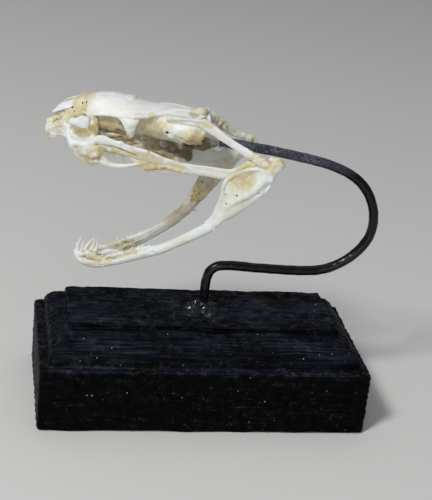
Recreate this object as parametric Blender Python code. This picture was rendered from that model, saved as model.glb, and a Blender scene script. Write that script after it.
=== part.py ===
"""A pit viper's skull, jaws open, on a bent wire over a black moulded wooden block.

The file is in metres with +Z up. The origin is the middle of the block's underside, +X runs
along the block, and the snout points to -X. The skull is laid out in a frame of its own, in
millimetres: u runs forward from the back of the braincase to the snout, s is the distance out
from the midline, and w is up.
"""

from math import cos, pi, radians, sin

import bmesh
import bpy
from mathutils import Matrix, Vector

MM = 0.001
LEFT, RIGHT = -1, 1
GAP = 0.3

# The block, in millimetres. Each step of the moulding is (inset from the side, height).
BLOCK_LENGTH = 76.2
BLOCK_WIDTH = 38.1
BLOCK_HEIGHT = 22.0
BLOCK_PROFILE = ((0.5, 0.0), (0.0, 0.5), (0.0, 15.0), (0.4, 15.4), (1.9, 15.5), (2.2, 16.9),
                 (2.9, 18.1), (4.2, 19.2), (6.3, 19.8), (6.7, 20.2), (6.8, 21.7), (7.1, BLOCK_HEIGHT))
CORNER_RADIUS = 1.2
CORNER_STEPS = 3

# The wire, in millimetres. It is bent in one upright plane.
WIRE_DIAMETER = 2.38
WIRE_FOOT_DEPTH = 9.0
WIRE_PLANE_Y = 1.7
WIRE_ROUTE_XZ = ((0.8, BLOCK_HEIGHT - WIRE_FOOT_DEPTH), (0.8, 22.0), (0.8, 28.4), (1.8, 31.7), (4.8, 32.9),
                 (13.4, 32.5), (23.0, 32.2), (29.2, 32.9), (34.6, 35.9), (38.2, 40.4), (39.1, 45.3),
                 (37.6, 50.9), (33.8, 55.5), (27.2, 58.7), (17.2, 60.9), (6.1, 62.6), (-6.5, 64.2))
WIRE_STEPS = 3

# The skull's own frame: the middle of the hole at the back of the braincase, and how it is turned.
SKULL_ORIGIN = Vector((-0.7, WIRE_PLANE_Y, 63.5))
SKULL_YAW = radians(11)
SKULL_ROLL = radians(3)

BONE_WHITE = (0.80, 0.77, 0.68)
BONE_YELLOW = (0.72, 0.65, 0.45)
TOOTH_WHITE = (0.86, 0.84, 0.76)
PAINT_BLACK = (0.012, 0.012, 0.014)

# How finely the bones are cut: points round a long bone, a slim one, a flat one and a tooth.
SIDES = 10
SLIM_SIDES = 8
BLADE_SIDES = 12
TOOTH_SIDES = 5
SMOOTH_ANGLE = radians(40)

# Braincase cross-sections: (u, crown w, roof s, roof w, wall s, wall w, floor s, floor w, keel w).
BRAINCASE = ((-1.0, 2.7, 1.5, 2.3, 2.6, 0.6, 1.6, -1.5, -1.95),
             (0.4, 3.9, 2.4, 3.4, 3.9, 1.4, 2.2, -1.3, -1.9),
             (2.2, 6.3, 2.9, 5.7, 4.8, 2.5, 2.6, -0.8, -1.6),
             (5.0, 6.9, 3.2, 6.2, 5.2, 2.8, 2.8, -0.5, -1.3),
             (8.0, 7.3, 3.1, 6.6, 5.1, 2.9, 2.8, -0.4, -1.1),
             (10.5, 7.6, 3.0, 6.8, 4.5, 3.0, 2.6, -0.3, -1.0),
             (13.0, 7.7, 3.4, 6.6, 3.3, 3.1, 2.3, -0.2, -0.9),
             (15.5, 7.9, 4.3, 6.1, 2.9, 3.2, 2.0, 0.0, -0.7),
             (17.8, 8.1, 5.2, 5.4, 2.8, 3.0, 1.8, 0.2, -0.5),
             (20.0, 8.4, 4.9, 5.0, 2.7, 3.0, 1.6, 0.3, -0.3),
             (23.0, 8.9, 4.3, 5.0, 2.5, 3.1, 1.4, 0.5, 0.0),
             (26.0, 8.6, 4.1, 4.8, 2.4, 3.2, 1.2, 0.8, 0.3),
             (28.4, 8.0, 3.6, 4.7, 2.3, 3.4, 1.0, 1.4, 1.0))

# Long bones: a station is (u, s, w, half height, half thickness, lean of the height in degrees
# up from the sideways direction).
NASAL_LEFT = ((36.2, 0.9, 3.2, 0.30, 0.15, -30), (35.2, 1.2, 4.2, 0.80, 0.22, -35),
              (33.6, 1.3, 5.1, 1.00, 0.25, -35), (31.6, 1.2, 6.0, 0.80, 0.20, -32))
NASAL_RIGHT = ((34.4, 0.9, 4.9, 0.35, 0.18, -32), (32.9, 1.2, 5.6, 0.90, 0.25, -34),
               (30.9, 1.2, 6.5, 1.00, 0.25, -32), (29.0, 1.0, 7.4, 0.60, 0.20, -30))
PREFRONTAL = ((33.0, 3.8, 2.4, 0.7, 0.40, 90), (31.6, 4.3, 2.7, 1.05, 0.55, 85),
              (29.8, 4.5, 2.75, 1.25, 0.70, 80), (28.2, 4.5, 2.8, 1.25, 0.75, 80),
              (27.3, 4.2, 2.7, 1.1, 0.60, 80))
POSTORBITAL = ((18.3, 5.45, 4.35, 0.40, 1.75, 0), (18.6, 5.3, 3.4, 0.40, 1.3, 0),
               (18.7, 5.1, 1.8, 0.40, 1.0, 0), (18.5, 4.8, 0.2, 0.35, 0.8, 0))
FANG = ((24.2, 6.3, -5.2, 0.75, 0.70, 90), (22.4, 6.3, -5.9, 0.60, 0.55, 90),
        (20.4, 6.3, -6.15, 0.52, 0.48, 90), (18.0, 6.3, -5.8, 0.42, 0.38, 90),
        (16.0, 6.3, -5.1, 0.28, 0.26, 90), (14.1, 6.2, -4.0, 0.08, 0.08, 90))
ECTOPTERYGOID = ((24.9, 6.3, -0.2, 1.1, 0.60, 90), (23.0, 6.4, -0.75, 1.15, 0.55, 90),
                 (20.5, 6.4, -1.35, 0.95, 0.50, 90), (16.7, 6.2, -2.2, 0.95, 0.45, 90),
                 (12.0, 6.05, -3.1, 0.95, 0.40, 85), (8.0, 6.3, -3.95, 0.75, 0.30, 80),
                 (6.2, 6.7, -4.2, 0.4, 0.20, 80))
PALATINE = ((24.4, 3.3, -2.0, 0.4, 0.30, 90), (22.5, 3.4, -2.6, 0.9, 0.45, 90),
            (20.0, 3.5, -3.1, 0.9, 0.45, 90), (17.9, 3.7, -3.5, 0.6, 0.35, 90))
PTERYGOID = ((17.4, 3.8, -3.7, 0.5, 0.30, 90), (15.0, 4.4, -4.6, 1.3, 0.40, 88),
             (12.0, 4.7, -5.3, 1.6, 0.45, 85), (8.5, 4.9, -5.5, 1.6, 0.45, 78),
             (5.0, 5.4, -5.6, 1.5, 0.40, 65), (1.5, 5.9, -5.5, 1.7, 0.35, 55),
             (-2.0, 6.5, -5.3, 1.9, 0.35, 52), (-4.5, 7.0, -5.0, 1.9, 0.30, 52),
             (-6.0, 7.4, -4.6, 1.0, 0.25, 52))
SUPRATEMPORAL_LEFT = ((10.2, 4.9, 5.6, 0.35, 0.20, 65), (8.5, 5.2, 5.4, 0.90, 0.35, 65),
                      (6.0, 5.4, 5.4, 1.10, 0.40, 65), (3.5, 5.5, 5.5, 1.05, 0.40, 65),
                      (1.4, 5.6, 5.8, 0.8, 0.40, 65))
SUPRATEMPORAL_RIGHT = ((9.4, 5.0, 5.0, 0.35, 0.20, 65), (7.8, 5.3, 5.0, 0.90, 0.35, 65),
                       (5.6, 5.6, 5.0, 1.10, 0.45, 65), (3.6, 5.7, 5.0, 1.15, 0.60, 65),
                       (2.4, 5.8, 5.0, 0.9, 0.50, 65))
QUADRATE_LEFT = ((2.9, 6.8, 5.9, 0.95, 0.45, 90), (0.4, 7.0, 4.9, 1.15, 0.50, 90),
                 (-4.0, 8.1, 2.8, 1.05, 0.50, 90), (-8.0, 9.2, 1.3, 1.0, 0.50, 90),
                 (-11.2, 9.9, 0.0, 1.1, 0.70, 90), (-12.3, 10.0, -0.4, 0.75, 0.85, 90))
QUADRATE_RIGHT = ((1.8, 6.7, 3.9, 1.0, 0.45, 90), (0.2, 7.0, 2.5, 1.15, 0.50, 90),
                  (-1.5, 7.4, 0.9, 1.15, 0.50, 90), (-4.0, 8.4, -1.1, 0.9, 0.50, 90),
                  (-6.3, 9.3, -2.0, 1.0, 0.70, 90), (-7.3, 9.7, -2.3, 0.75, 0.80, 90))
JAW_COMPOUND_LEFT = ((-16.0, 10.3, 0.3, 0.5, 0.50, 90), (-15.3, 10.3, 0.1, 1.2, 0.90, 90),
                     (-14.3, 10.3, -0.8, 1.3, 1.00, 90), (-13.4, 10.1, -2.3, 1.0, 0.85, 90),
                     (-11.7, 9.9, -3.4, 2.0, 0.75, 90), (-9.8, 9.6, -5.1, 3.4, 0.70, 90),
                     (-7.5, 9.2, -7.8, 3.7, 0.70, 90), (-5.2, 8.7, -11.2, 2.6, 0.70, 90),
                     (-3.5, 8.1, -14.3, 1.55, 0.75, 90), (-2.0, 7.5, -17.0, 1.1, 0.80, 90))
JAW_COMPOUND_RIGHT = ((-9.7, 10.2, -2.7, 0.6, 0.50, 90), (-8.9, 10.2, -3.3, 1.1, 0.90, 90),
                      (-7.3, 9.9, -4.7, 1.3, 0.80, 90), (-5.4, 9.7, -5.9, 2.0, 0.70, 90),
                      (-3.4, 9.5, -7.6, 2.6, 0.70, 90), (-1.6, 9.3, -10.0, 2.8, 0.70, 90),
                      (0.3, 9.0, -13.3, 2.5, 0.70, 90), (2.4, 8.5, -16.9, 1.95, 0.75, 90),
                      (4.6, 7.9, -20.4, 1.5, 0.80, 90), (6.2, 7.45, -22.3, 1.35, 0.80, 90))
DENTARY_LEFT = ((-1.6, 7.25, -17.75, 1.0, 0.80, 90), (3.8, 6.2, -21.9, 1.15, 0.85, 90),
                (9.6, 5.2, -25.4, 1.2, 0.90, 90), (15.6, 4.2, -28.4, 1.25, 0.90, 90),
                (20.4, 3.4, -30.6, 1.2, 0.90, 90), (24.5, 2.8, -31.9, 1.25, 0.90, 90),
                (27.4, 2.3, -32.0, 1.35, 0.90, 90), (29.2, 2.0, -30.9, 1.25, 0.80, 90),
                (29.8, 1.9, -29.6, 0.7, 0.60, 90))
DENTARY_RIGHT = ((6.6, 7.3, -22.8, 1.35, 0.80, 90), (8.4, 6.9, -24.3, 1.35, 0.85, 90),
                 (12.3, 6.2, -27.2, 1.25, 0.90, 90), (16.2, 5.4, -29.4, 1.25, 0.90, 90),
                 (20.4, 4.7, -31.2, 1.2, 0.90, 90), (23.8, 4.3, -32.3, 1.15, 0.90, 90),
                 (26.4, 4.0, -32.4, 0.9, 0.70, 90))

# Upright bones: a level is (w, u, s, half length along u, half width along s).
PREMAXILLA_BEAK = ((-3.9, 37.0, 0.0, 0.30, 0.45), (-2.6, 37.1, 0.0, 0.70, 1.10),
                   (-1.3, 37.3, 0.0, 0.80, 1.60), (0.0, 37.2, 0.0, 0.75, 1.20),
                   (1.1, 37.1, 0.0, 0.50, 0.70), (1.9, 36.7, 0.0, 0.35, 0.50),
                   (2.5, 36.4, 0.0, 0.20, 0.30))
PREMAXILLA_WING = ((37.2, 0.4, -1.0, 0.9, 0.45, 90), (35.4, 1.9, -0.75, 1.0, 0.40, 90),
                   (33.6, 3.0, -0.5, 1.1, 0.30, 90))
NOSE_CORE = ((35.5, 0.0, 1.6, 0.9, 0.9, 90), (34.0, 0.0, 2.2, 1.6, 1.7, 90),
             (32.4, 0.0, 2.9, 2.1, 2.1, 90), (31.0, 0.0, 3.5, 2.3, 2.5, 90),
             (29.5, 0.0, 4.0, 2.6, 2.8, 90))
MAXILLA = ((1.0, 29.2, 5.3, 2.9, 0.9), (-0.2, 29.1, 5.9, 3.2, 1.3), (-1.6, 28.7, 6.1, 3.1, 1.4),
           (-3.1, 27.9, 6.2, 2.8, 1.4), (-4.4, 27.2, 6.3, 2.4, 1.2), (-5.6, 26.3, 6.3, 1.6, 0.9))
# Hollows are ellipsoids: (u, s, w) of the centre, the radii along u, s and w, and for the jaws the
# angle that the long way dips forward.
MAXILLA_PIT = ((29.0, 7.6, 0.2), (2.5, 1.6, 1.4))
JAW_PIT_LEFT = ((-8.2, 10.35, -6.1), (4.6, 0.95, 2.1), 47)
JAW_PIT_RIGHT = ((-2.0, 10.15, -9.2), (4.4, 0.95, 1.7), 52)

# Tooth rows: (first u, last u, number of teeth, length, root radius). The taper is (share of the
# length, share of the root radius), and the hook is how far the middle bows, as a share of the length.
PTERYGOID_TEETH = (14.6, 8.6, 7, 1.2, 0.20)
PALATINE_TEETH = (23.2, 18.8, 4, 1.5, 0.20)
DENTARY_TEETH = (12.0, 28.6, 8, 1.8, 0.24)
TOOTH_TAPER = ((0.0, 1.0), (0.45, 0.72), (0.8, 0.4), (1.0, 0.1))
TOOTH_HOOK = 0.16
TOOTH_ROOT_DEPTH = 0.5
TOOTH_INSET = 0.6


def clear_scene():
    for thing in list(bpy.data.objects):
        bpy.data.objects.remove(thing)


def make_collection(name):
    collection = bpy.data.collections.new(name)
    bpy.context.scene.collection.children.link(collection)
    return collection


def make_material(name, colour, roughness):
    material = bpy.data.materials.new(name)
    material.use_nodes = True
    shader = material.node_tree.nodes["Principled BSDF"]
    shader.inputs["Base Color"].default_value = (*colour, 1.0)
    shader.inputs["Roughness"].default_value = roughness
    shader.inputs["Metallic"].default_value = 0.0
    return material


def skull_axes():
    """The skull's forward, rightward and upward directions in the world."""
    forward = Vector((-cos(SKULL_YAW), sin(SKULL_YAW), 0.0))
    level = Vector((sin(SKULL_YAW), cos(SKULL_YAW), 0.0))
    up = Vector((0.0, 0.0, 1.0))
    right = level * cos(SKULL_ROLL) + up * sin(SKULL_ROLL)
    return forward, right, up * cos(SKULL_ROLL) - level * sin(SKULL_ROLL)


FORWARD, RIGHTWARD, UPWARD = skull_axes()


def skull_point(u, s, w, side=RIGHT):
    """A point of the skull, in metres in the world."""
    return (SKULL_ORIGIN + FORWARD * u + RIGHTWARD * (s * side) + UPWARD * w) * MM


def loft(name, rings, collection, material):
    """One closed body through rings that have the same number of points each."""
    mesh = bmesh.new()
    rows = [[mesh.verts.new(point) for point in ring] for ring in rings]
    count = len(rows[0])
    for low, high in zip(rows, rows[1:]):
        for i in range(count):
            after = (i + 1) % count
            mesh.faces.new((low[i], low[after], high[after], high[i]))
    mesh.faces.new(rows[0])
    mesh.faces.new(rows[-1])
    bmesh.ops.triangulate(mesh, faces=[face for face in mesh.faces if len(face.verts) > 4])
    bmesh.ops.recalc_face_normals(mesh, faces=mesh.faces)
    data = bpy.data.meshes.new(name)
    mesh.to_mesh(data)
    mesh.free()
    data.shade_smooth()
    data.set_sharp_from_angle(angle=SMOOTH_ANGLE)
    thing = bpy.data.objects.new(name, data)
    collection.objects.link(thing)
    data.materials.append(material)
    return thing


def ellipse(centre, along, across, half_along, half_across, sides):
    """A ring of points around a centre."""
    ring = []
    for i in range(sides):
        turn = 2 * pi * i / sides
        ring.append(centre + along * (half_along * cos(turn)) + across * (half_across * sin(turn)))
    return ring


def limb_rings(stations, side, sides=SIDES):
    """Rings square to a long bone's run, each from one station."""
    centres = [skull_point(u, s, w, side) for u, s, w, _, _, _ in stations]
    rings = []
    for i, (_, _, _, height, thickness, lean) in enumerate(stations):
        run = (centres[min(i + 1, len(centres) - 1)] - centres[max(i - 1, 0)]).normalized()
        tall = RIGHTWARD * (side * cos(radians(lean))) + UPWARD * sin(radians(lean))
        tall = (tall - run * tall.dot(run)).normalized()
        rings.append(ellipse(centres[i], tall, run.cross(tall), height * MM, thickness * MM, sides))
    return rings


def limb(name, stations, side, collection, material, sides=SIDES):
    return loft(name, limb_rings(stations, side, sides), collection, material)


def upright(name, levels, side, collection, material, sides=BLADE_SIDES):
    """A bone built up of level slices."""
    rings = []
    for w, u, s, half_u, half_s in levels:
        centre = skull_point(u, s, w, side)
        rings.append(ellipse(centre, FORWARD, RIGHTWARD, half_u * MM, half_s * MM, sides))
    return loft(name, rings, collection, material)


def braincase_ring(u, crown_w, roof_s, roof_w, wall_s, wall_w, floor_s, floor_w, keel_w):
    """A closed cross-section, from the crown down the right wall to the keel and up the left."""
    half = ((roof_s * 0.55, crown_w - 0.22 * (crown_w - roof_w)), (roof_s, roof_w + 0.3),
            (roof_s * 0.98, roof_w - 0.35), (wall_s, wall_w + 0.7), (wall_s, wall_w - 0.7),
            ((wall_s + floor_s) / 2, (wall_w + floor_w) / 2 - 0.3), (floor_s * 0.8, floor_w - 0.2))
    ring = [skull_point(u, 0.0, crown_w)]
    ring += [skull_point(u, s, w, RIGHT) for s, w in half]
    ring.append(skull_point(u, 0.0, keel_w))
    ring += [skull_point(u, s, w, LEFT) for s, w in reversed(half)]
    return ring


def make_cutter(thing):
    thing.hide_render = True
    thing.display_type = "WIRE"
    return thing


def change(thing, operation, tool):
    """Join a tool to a piece, or cut it out, and keep the modifier on the piece."""
    step = thing.modifiers.new(operation.title(), "BOOLEAN")
    step.operation = operation
    step.solver = "EXACT"
    step.object = tool


def hollow(thing, centre, radii, side, cutters, pitch=0.0):
    """Scoop an ellipsoid out of a bone."""
    bpy.ops.mesh.primitive_uv_sphere_add(segments=14, ring_count=8, radius=MM)
    ball = bpy.context.object
    ball.name = thing.name + "_hollow"
    turn = Matrix((FORWARD, RIGHTWARD, UPWARD)).transposed()
    tip = Matrix.Rotation(radians(pitch), 3, "Y")
    size = Matrix.Diagonal(radii)
    place = (turn @ tip @ size).to_4x4()
    place.translation = skull_point(*centre, side)
    ball.data.transform(place)
    if place.determinant() < 0:
        ball.data.flip_normals()
    bpy.context.collection.objects.unlink(ball)
    cutters.objects.link(make_cutter(ball))
    change(thing, "DIFFERENCE", ball)


def tooth_rings(root, tip, radius, hook):
    """A thin hooked cone, from inside the bone to its point."""
    length = (tip - root).length
    run = (tip - root).normalized()
    across = run.cross(RIGHTWARD).normalized()
    other = run.cross(across)
    rings = []
    for share, width in TOOTH_TAPER:
        centre = root.lerp(tip, share) + hook * (sin(pi * share) * length * TOOTH_HOOK)
        rings.append(ellipse(centre, across, other, radius * width, radius * width, TOOTH_SIDES))
    return rings


def edge_point(stations, side, u, reach):
    """A point on a bone's edge at u: reach 1 is the top edge, -1 the bottom, 0 the middle."""
    for near, far in zip(stations, stations[1:]):
        low, high = sorted((near[0], far[0]))
        if low <= u <= high:
            share = (u - near[0]) / (far[0] - near[0])
            _, s, w, height, _, lean = (a + (b - a) * share for a, b in zip(near, far))
            out = reach * height * cos(radians(lean))
            rise = reach * height * sin(radians(lean))
            return skull_point(u, s + out, w + rise, side)
    raise ValueError("u is off the bone")


def add_teeth(thing, stations, side, row, reach, lean_back, material, cutters):
    """Grow a row of teeth from a bone's top or bottom edge, the longest in the middle of the row."""
    first, last, count, length, radius = row
    away = UPWARD * reach
    backward = -FORWARD
    for i in range(count):
        share = i / (count - 1)
        root = edge_point(stations, side, first + (last - first) * share, reach * TOOTH_INSET)
        size = length * (0.75 + 0.25 * sin(pi * (0.2 + 0.6 * share))) * MM
        tip = root + (away + backward * lean_back).normalized() * (size + TOOTH_ROOT_DEPTH * MM)
        rings = tooth_rings(root, tip, radius * MM, -backward)
        cone = loft(f"{thing.name}_tooth_{i}", rings, cutters, material)
        change(thing, "UNION", make_cutter(cone))


def build_block(collection, cutters):
    """The moulded block: a stack of round-cornered rectangles, with the hole for the wire."""
    rings = []
    for inset, height in BLOCK_PROFILE:
        radius = CORNER_RADIUS
        half_x = BLOCK_LENGTH / 2 - inset - radius
        half_y = BLOCK_WIDTH / 2 - inset - radius
        ring = []
        for corner, (sign_x, sign_y) in enumerate(((1, 1), (-1, 1), (-1, -1), (1, -1))):
            for step in range(CORNER_STEPS + 1):
                turn = pi / 2 * (corner + step / CORNER_STEPS)
                x = sign_x * half_x + radius * cos(turn)
                y = sign_y * half_y + radius * sin(turn)
                ring.append(Vector((x, y, height)) * MM)
        rings.append(ring)
    block = loft("wood_base", rings, collection, make_material("black_paint_wood", PAINT_BLACK, 0.45))
    radius = (WIRE_DIAMETER / 2 + GAP) * MM
    depth = 2 * (WIRE_FOOT_DEPTH + GAP) * MM
    bpy.ops.mesh.primitive_cylinder_add(vertices=16, radius=radius, depth=depth)
    drill = bpy.context.object
    drill.name = "wire_hole"
    drill.location = Vector((WIRE_ROUTE_XZ[0][0], WIRE_PLANE_Y, BLOCK_HEIGHT)) * MM
    bpy.context.collection.objects.unlink(drill)
    cutters.objects.link(make_cutter(drill))
    change(block, "DIFFERENCE", drill)


def wire_points():
    """A smooth curve through the wire's route."""
    route = [Vector((x, WIRE_PLANE_Y, z)) * MM for x, z in WIRE_ROUTE_XZ]
    points = []
    padded = [route[0], *route, route[-1]]
    for before, start, end, after in zip(padded, padded[1:], padded[2:], padded[3:]):
        slope = end - before
        bend = 2 * before - 5 * start + 4 * end - after
        twist = 3 * start - before - 3 * end + after
        for step in range(WIRE_STEPS):
            t = step / WIRE_STEPS
            points.append(start + 0.5 * (slope * t + bend * t ** 2 + twist * t ** 3))
    points.append(route[-1])
    return points


def build_wire(collection):
    points = wire_points()
    data = bpy.data.curves.new("wire_stand", "CURVE")
    data.dimensions = "3D"
    data.bevel_depth = WIRE_DIAMETER / 2 * MM
    data.bevel_resolution = 2
    data.use_fill_caps = True
    line = data.splines.new("POLY")
    line.points.add(len(points) - 1)
    for point, place in zip(line.points, points):
        point.co = (*place, 1.0)
    line.use_smooth = True
    wire = bpy.data.objects.new("wire_stand", data)
    wire.data.materials.append(make_material("black_paint_wire", PAINT_BLACK, 0.3))
    collection.objects.link(wire)


def build_braincase(collection, cutters, bone):
    rings = [braincase_ring(*section) for section in BRAINCASE]
    case = loft("braincase", rings, collection, bone)
    route = [Vector((x, WIRE_PLANE_Y, z)) * MM for x, z in WIRE_ROUTE_XZ[-2:]]
    run = (route[1] - route[0]).normalized()
    across = run.cross(Vector((0.0, 1.0, 0.0))).normalized()
    other = run.cross(across)
    radius = (WIRE_DIAMETER / 2 + GAP) * MM
    ends = (route[0], route[1] + run * GAP * MM)
    rings = [ellipse(end, across, other, radius, radius, BLADE_SIDES) for end in ends]
    channel = loft("wire_channel", rings, cutters, bone)
    change(case, "DIFFERENCE", make_cutter(channel))


def build_snout(collection, cutters, bone, yellow):
    beak = upright("premaxilla", PREMAXILLA_BEAK, RIGHT, collection, bone)
    for side in (LEFT, RIGHT):
        wing = limb(f"premaxilla_wing_{side}", PREMAXILLA_WING, side, cutters, bone, SLIM_SIDES)
        change(beak, "UNION", make_cutter(wing))
    limb("nose_core", NOSE_CORE, RIGHT, collection, yellow, BLADE_SIDES)
    limb("nasal_left", NASAL_LEFT, LEFT, collection, bone, SLIM_SIDES)
    limb("nasal_right", NASAL_RIGHT, RIGHT, collection, bone, SLIM_SIDES)


def build_side(side, word, collection, cutters, materials):
    """The paired bones of one side."""
    bone, yellow, enamel = materials
    limb(f"prefrontal_{word}", PREFRONTAL, side, collection, bone)
    limb(f"postorbital_{word}", POSTORBITAL, side, collection, bone, SLIM_SIDES)
    maxilla = upright(f"maxilla_{word}", MAXILLA, side, collection, bone)
    hollow(maxilla, *MAXILLA_PIT, side, cutters)
    limb(f"fang_{word}", FANG, side, collection, enamel, SLIM_SIDES)
    limb(f"ectopterygoid_{word}", ECTOPTERYGOID, side, collection, bone, SLIM_SIDES)
    palatine = limb(f"palatine_{word}", PALATINE, side, collection, yellow, SLIM_SIDES)
    add_teeth(palatine, PALATINE, side, PALATINE_TEETH, -1, 0.7, enamel, cutters)
    pterygoid = limb(f"pterygoid_{word}", PTERYGOID, side, collection, yellow)
    add_teeth(pterygoid, PTERYGOID, side, PTERYGOID_TEETH, -1, 0.9, enamel, cutters)
    left = side == LEFT
    plate = SUPRATEMPORAL_LEFT if left else SUPRATEMPORAL_RIGHT
    limb(f"supratemporal_{word}", plate, side, collection, bone, SLIM_SIDES)
    limb(f"quadrate_{word}", QUADRATE_LEFT if left else QUADRATE_RIGHT, side, collection, bone)
    compound = JAW_COMPOUND_LEFT if left else JAW_COMPOUND_RIGHT
    jaw = limb(f"jaw_compound_{word}", compound, side, collection, bone, BLADE_SIDES)
    centre, radii, pitch = JAW_PIT_LEFT if left else JAW_PIT_RIGHT
    hollow(jaw, centre, radii, side, cutters, pitch)
    front = DENTARY_LEFT if left else DENTARY_RIGHT
    dentary = limb(f"dentary_{word}", front, side, collection, bone)
    row = (DENTARY_TEETH[0], min(DENTARY_TEETH[1], front[-1][0] - 0.4), *DENTARY_TEETH[2:])
    add_teeth(dentary, front, side, row, 1, 0.5, enamel, cutters)


def build():
    clear_scene()
    collection = make_collection("snake_skull")
    cutters = make_collection("cutters")
    bone = make_material("bone", BONE_WHITE, 0.5)
    yellow = make_material("bone_yellow", BONE_YELLOW, 0.6)
    enamel = make_material("tooth", TOOTH_WHITE, 0.3)
    build_block(collection, cutters)
    build_wire(collection)
    build_braincase(collection, cutters, bone)
    build_snout(collection, cutters, bone, yellow)
    for side, word in ((LEFT, "left"), (RIGHT, "right")):
        build_side(side, word, collection, cutters, (bone, yellow, enamel))


build()
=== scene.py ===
"""The looks of a pit viper's skull on a bent wire over a black painted wooden block.

Bones are sculpted as blocks of distances on a grid, in the skull's own frame and in millimetres:
u runs forward to the snout, s is the distance out from the midline, and w is up. Each block is
then skinned, toothed, stained and set in the world, in metres.
"""

from math import ceil, cos, pi, radians, sin

import bpy
import numpy as np
from mathutils import Matrix, Vector

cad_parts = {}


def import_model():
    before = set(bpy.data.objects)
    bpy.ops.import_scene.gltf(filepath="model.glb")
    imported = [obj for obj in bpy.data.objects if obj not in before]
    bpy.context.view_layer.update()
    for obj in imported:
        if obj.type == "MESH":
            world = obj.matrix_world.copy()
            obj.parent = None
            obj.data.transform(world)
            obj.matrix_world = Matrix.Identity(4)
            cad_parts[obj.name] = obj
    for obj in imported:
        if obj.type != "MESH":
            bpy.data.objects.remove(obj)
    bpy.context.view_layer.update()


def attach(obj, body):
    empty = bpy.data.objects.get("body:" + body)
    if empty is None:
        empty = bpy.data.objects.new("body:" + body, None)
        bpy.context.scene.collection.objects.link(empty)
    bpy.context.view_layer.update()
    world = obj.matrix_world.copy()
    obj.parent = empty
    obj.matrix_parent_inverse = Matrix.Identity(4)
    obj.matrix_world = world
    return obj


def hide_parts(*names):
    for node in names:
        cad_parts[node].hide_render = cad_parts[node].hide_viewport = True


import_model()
bpy.context.scene.view_settings.view_transform = "Standard"

MM = 0.001
TINY = 1e-9
# The left side faces the camera. A bone on the midline has its right side at positive s.
NEAR, FAR, MIDDLE = -1, 1, 0
SIDES = {NEAR: "left", FAR: "right"}
VOXEL = 0.15
FINE_VOXEL = 0.12
FAR_AWAY = 9.0

# The skull's frame, as the solids have it: the hole at the back of the braincase, yaw and roll.
SKULL_ORIGIN = np.array((-0.7, 1.7, 63.5))
SKULL_YAW = radians(11)
SKULL_ROLL = radians(3)
FORWARD = np.array((-cos(SKULL_YAW), sin(SKULL_YAW), 0.0))
LEVEL = np.array((sin(SKULL_YAW), cos(SKULL_YAW), 0.0))
RIGHTWARD = LEVEL * cos(SKULL_ROLL) + np.array((0.0, 0.0, sin(SKULL_ROLL)))
UPWARD = np.array((0.0, 0.0, cos(SKULL_ROLL))) - LEVEL * sin(SKULL_ROLL)


def world(points, side):
    """Skull points (u, s, w), in millimetres, as world points in metres."""
    points = np.asarray(points, float).reshape(-1, 3)
    place = points[:, :1] * FORWARD + side * points[:, 1:2] * RIGHTWARD + points[:, 2:] * UPWARD
    return (SKULL_ORIGIN + place) * MM


def catmull(rows, spacing):
    """Rows of numbers smoothed to a run of closer rows. The first three numbers are a place."""
    rows = np.asarray(rows, float)
    padded = np.vstack((rows[:1], rows, rows[-1:]))
    out = []
    for before, start, end, after in zip(padded, padded[1:], padded[2:], padded[3:]):
        steps = max(1, ceil(np.linalg.norm(end[:3] - start[:3]) / spacing))
        for t in np.arange(steps) / steps:
            bend = 2 * before - 5 * start + 4 * end - after
            twist = 3 * start - before - 3 * end + after
            out.append(start + 0.5 * ((end - before) * t + bend * t ** 2 + twist * t ** 3))
    out.append(rows[-1])
    return np.array(out)


def ripple(points, size, seed, stretch=(1.0, 1.0, 1.0)):
    """Smooth random waves at any points, about -1 to 1, drawn out along an axis by its stretch."""
    rng = np.random.default_rng(seed)
    waves = 28
    ways = rng.normal(size=(waves, 3)) * 2.6 / (size * np.array(stretch))
    phases = rng.uniform(0, 2 * pi, waves)
    return np.sin(points @ ways.T + phases).sum(1) / waves ** 0.5 * 0.8


def tube_faces(count, around):
    """Quads between rings of as many points each. They face outward if the rings turn left."""
    here = np.arange(around)
    there = (here + 1) % around
    starts = np.arange(count - 1)[:, None] * around
    quads = np.stack((starts + here, starts + there, starts + around + there, starts + around + here), -1)
    return quads.reshape(-1, 4)


def ellipsoid(offsets, axes, radii):
    """How far points lie outside an ellipsoid, near enough."""
    near = 0.0
    steep = 0.0
    for axis, radius in zip(axes, radii):
        reach = sum(offset * part for offset, part in zip(offsets, axis)) / radius
        near = near + reach ** 2
        steep = steep + (reach / radius) ** 2
    near = np.sqrt(near)
    return near * (near - 1) / np.sqrt(steep + TINY)


def soft_min(a, b, blend):
    """The lower of two distances, rounded where they meet."""
    overlap = np.maximum(blend - np.abs(a - b), 0.0) / blend
    return np.minimum(a, b) - overlap ** 2 * blend / 4


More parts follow.
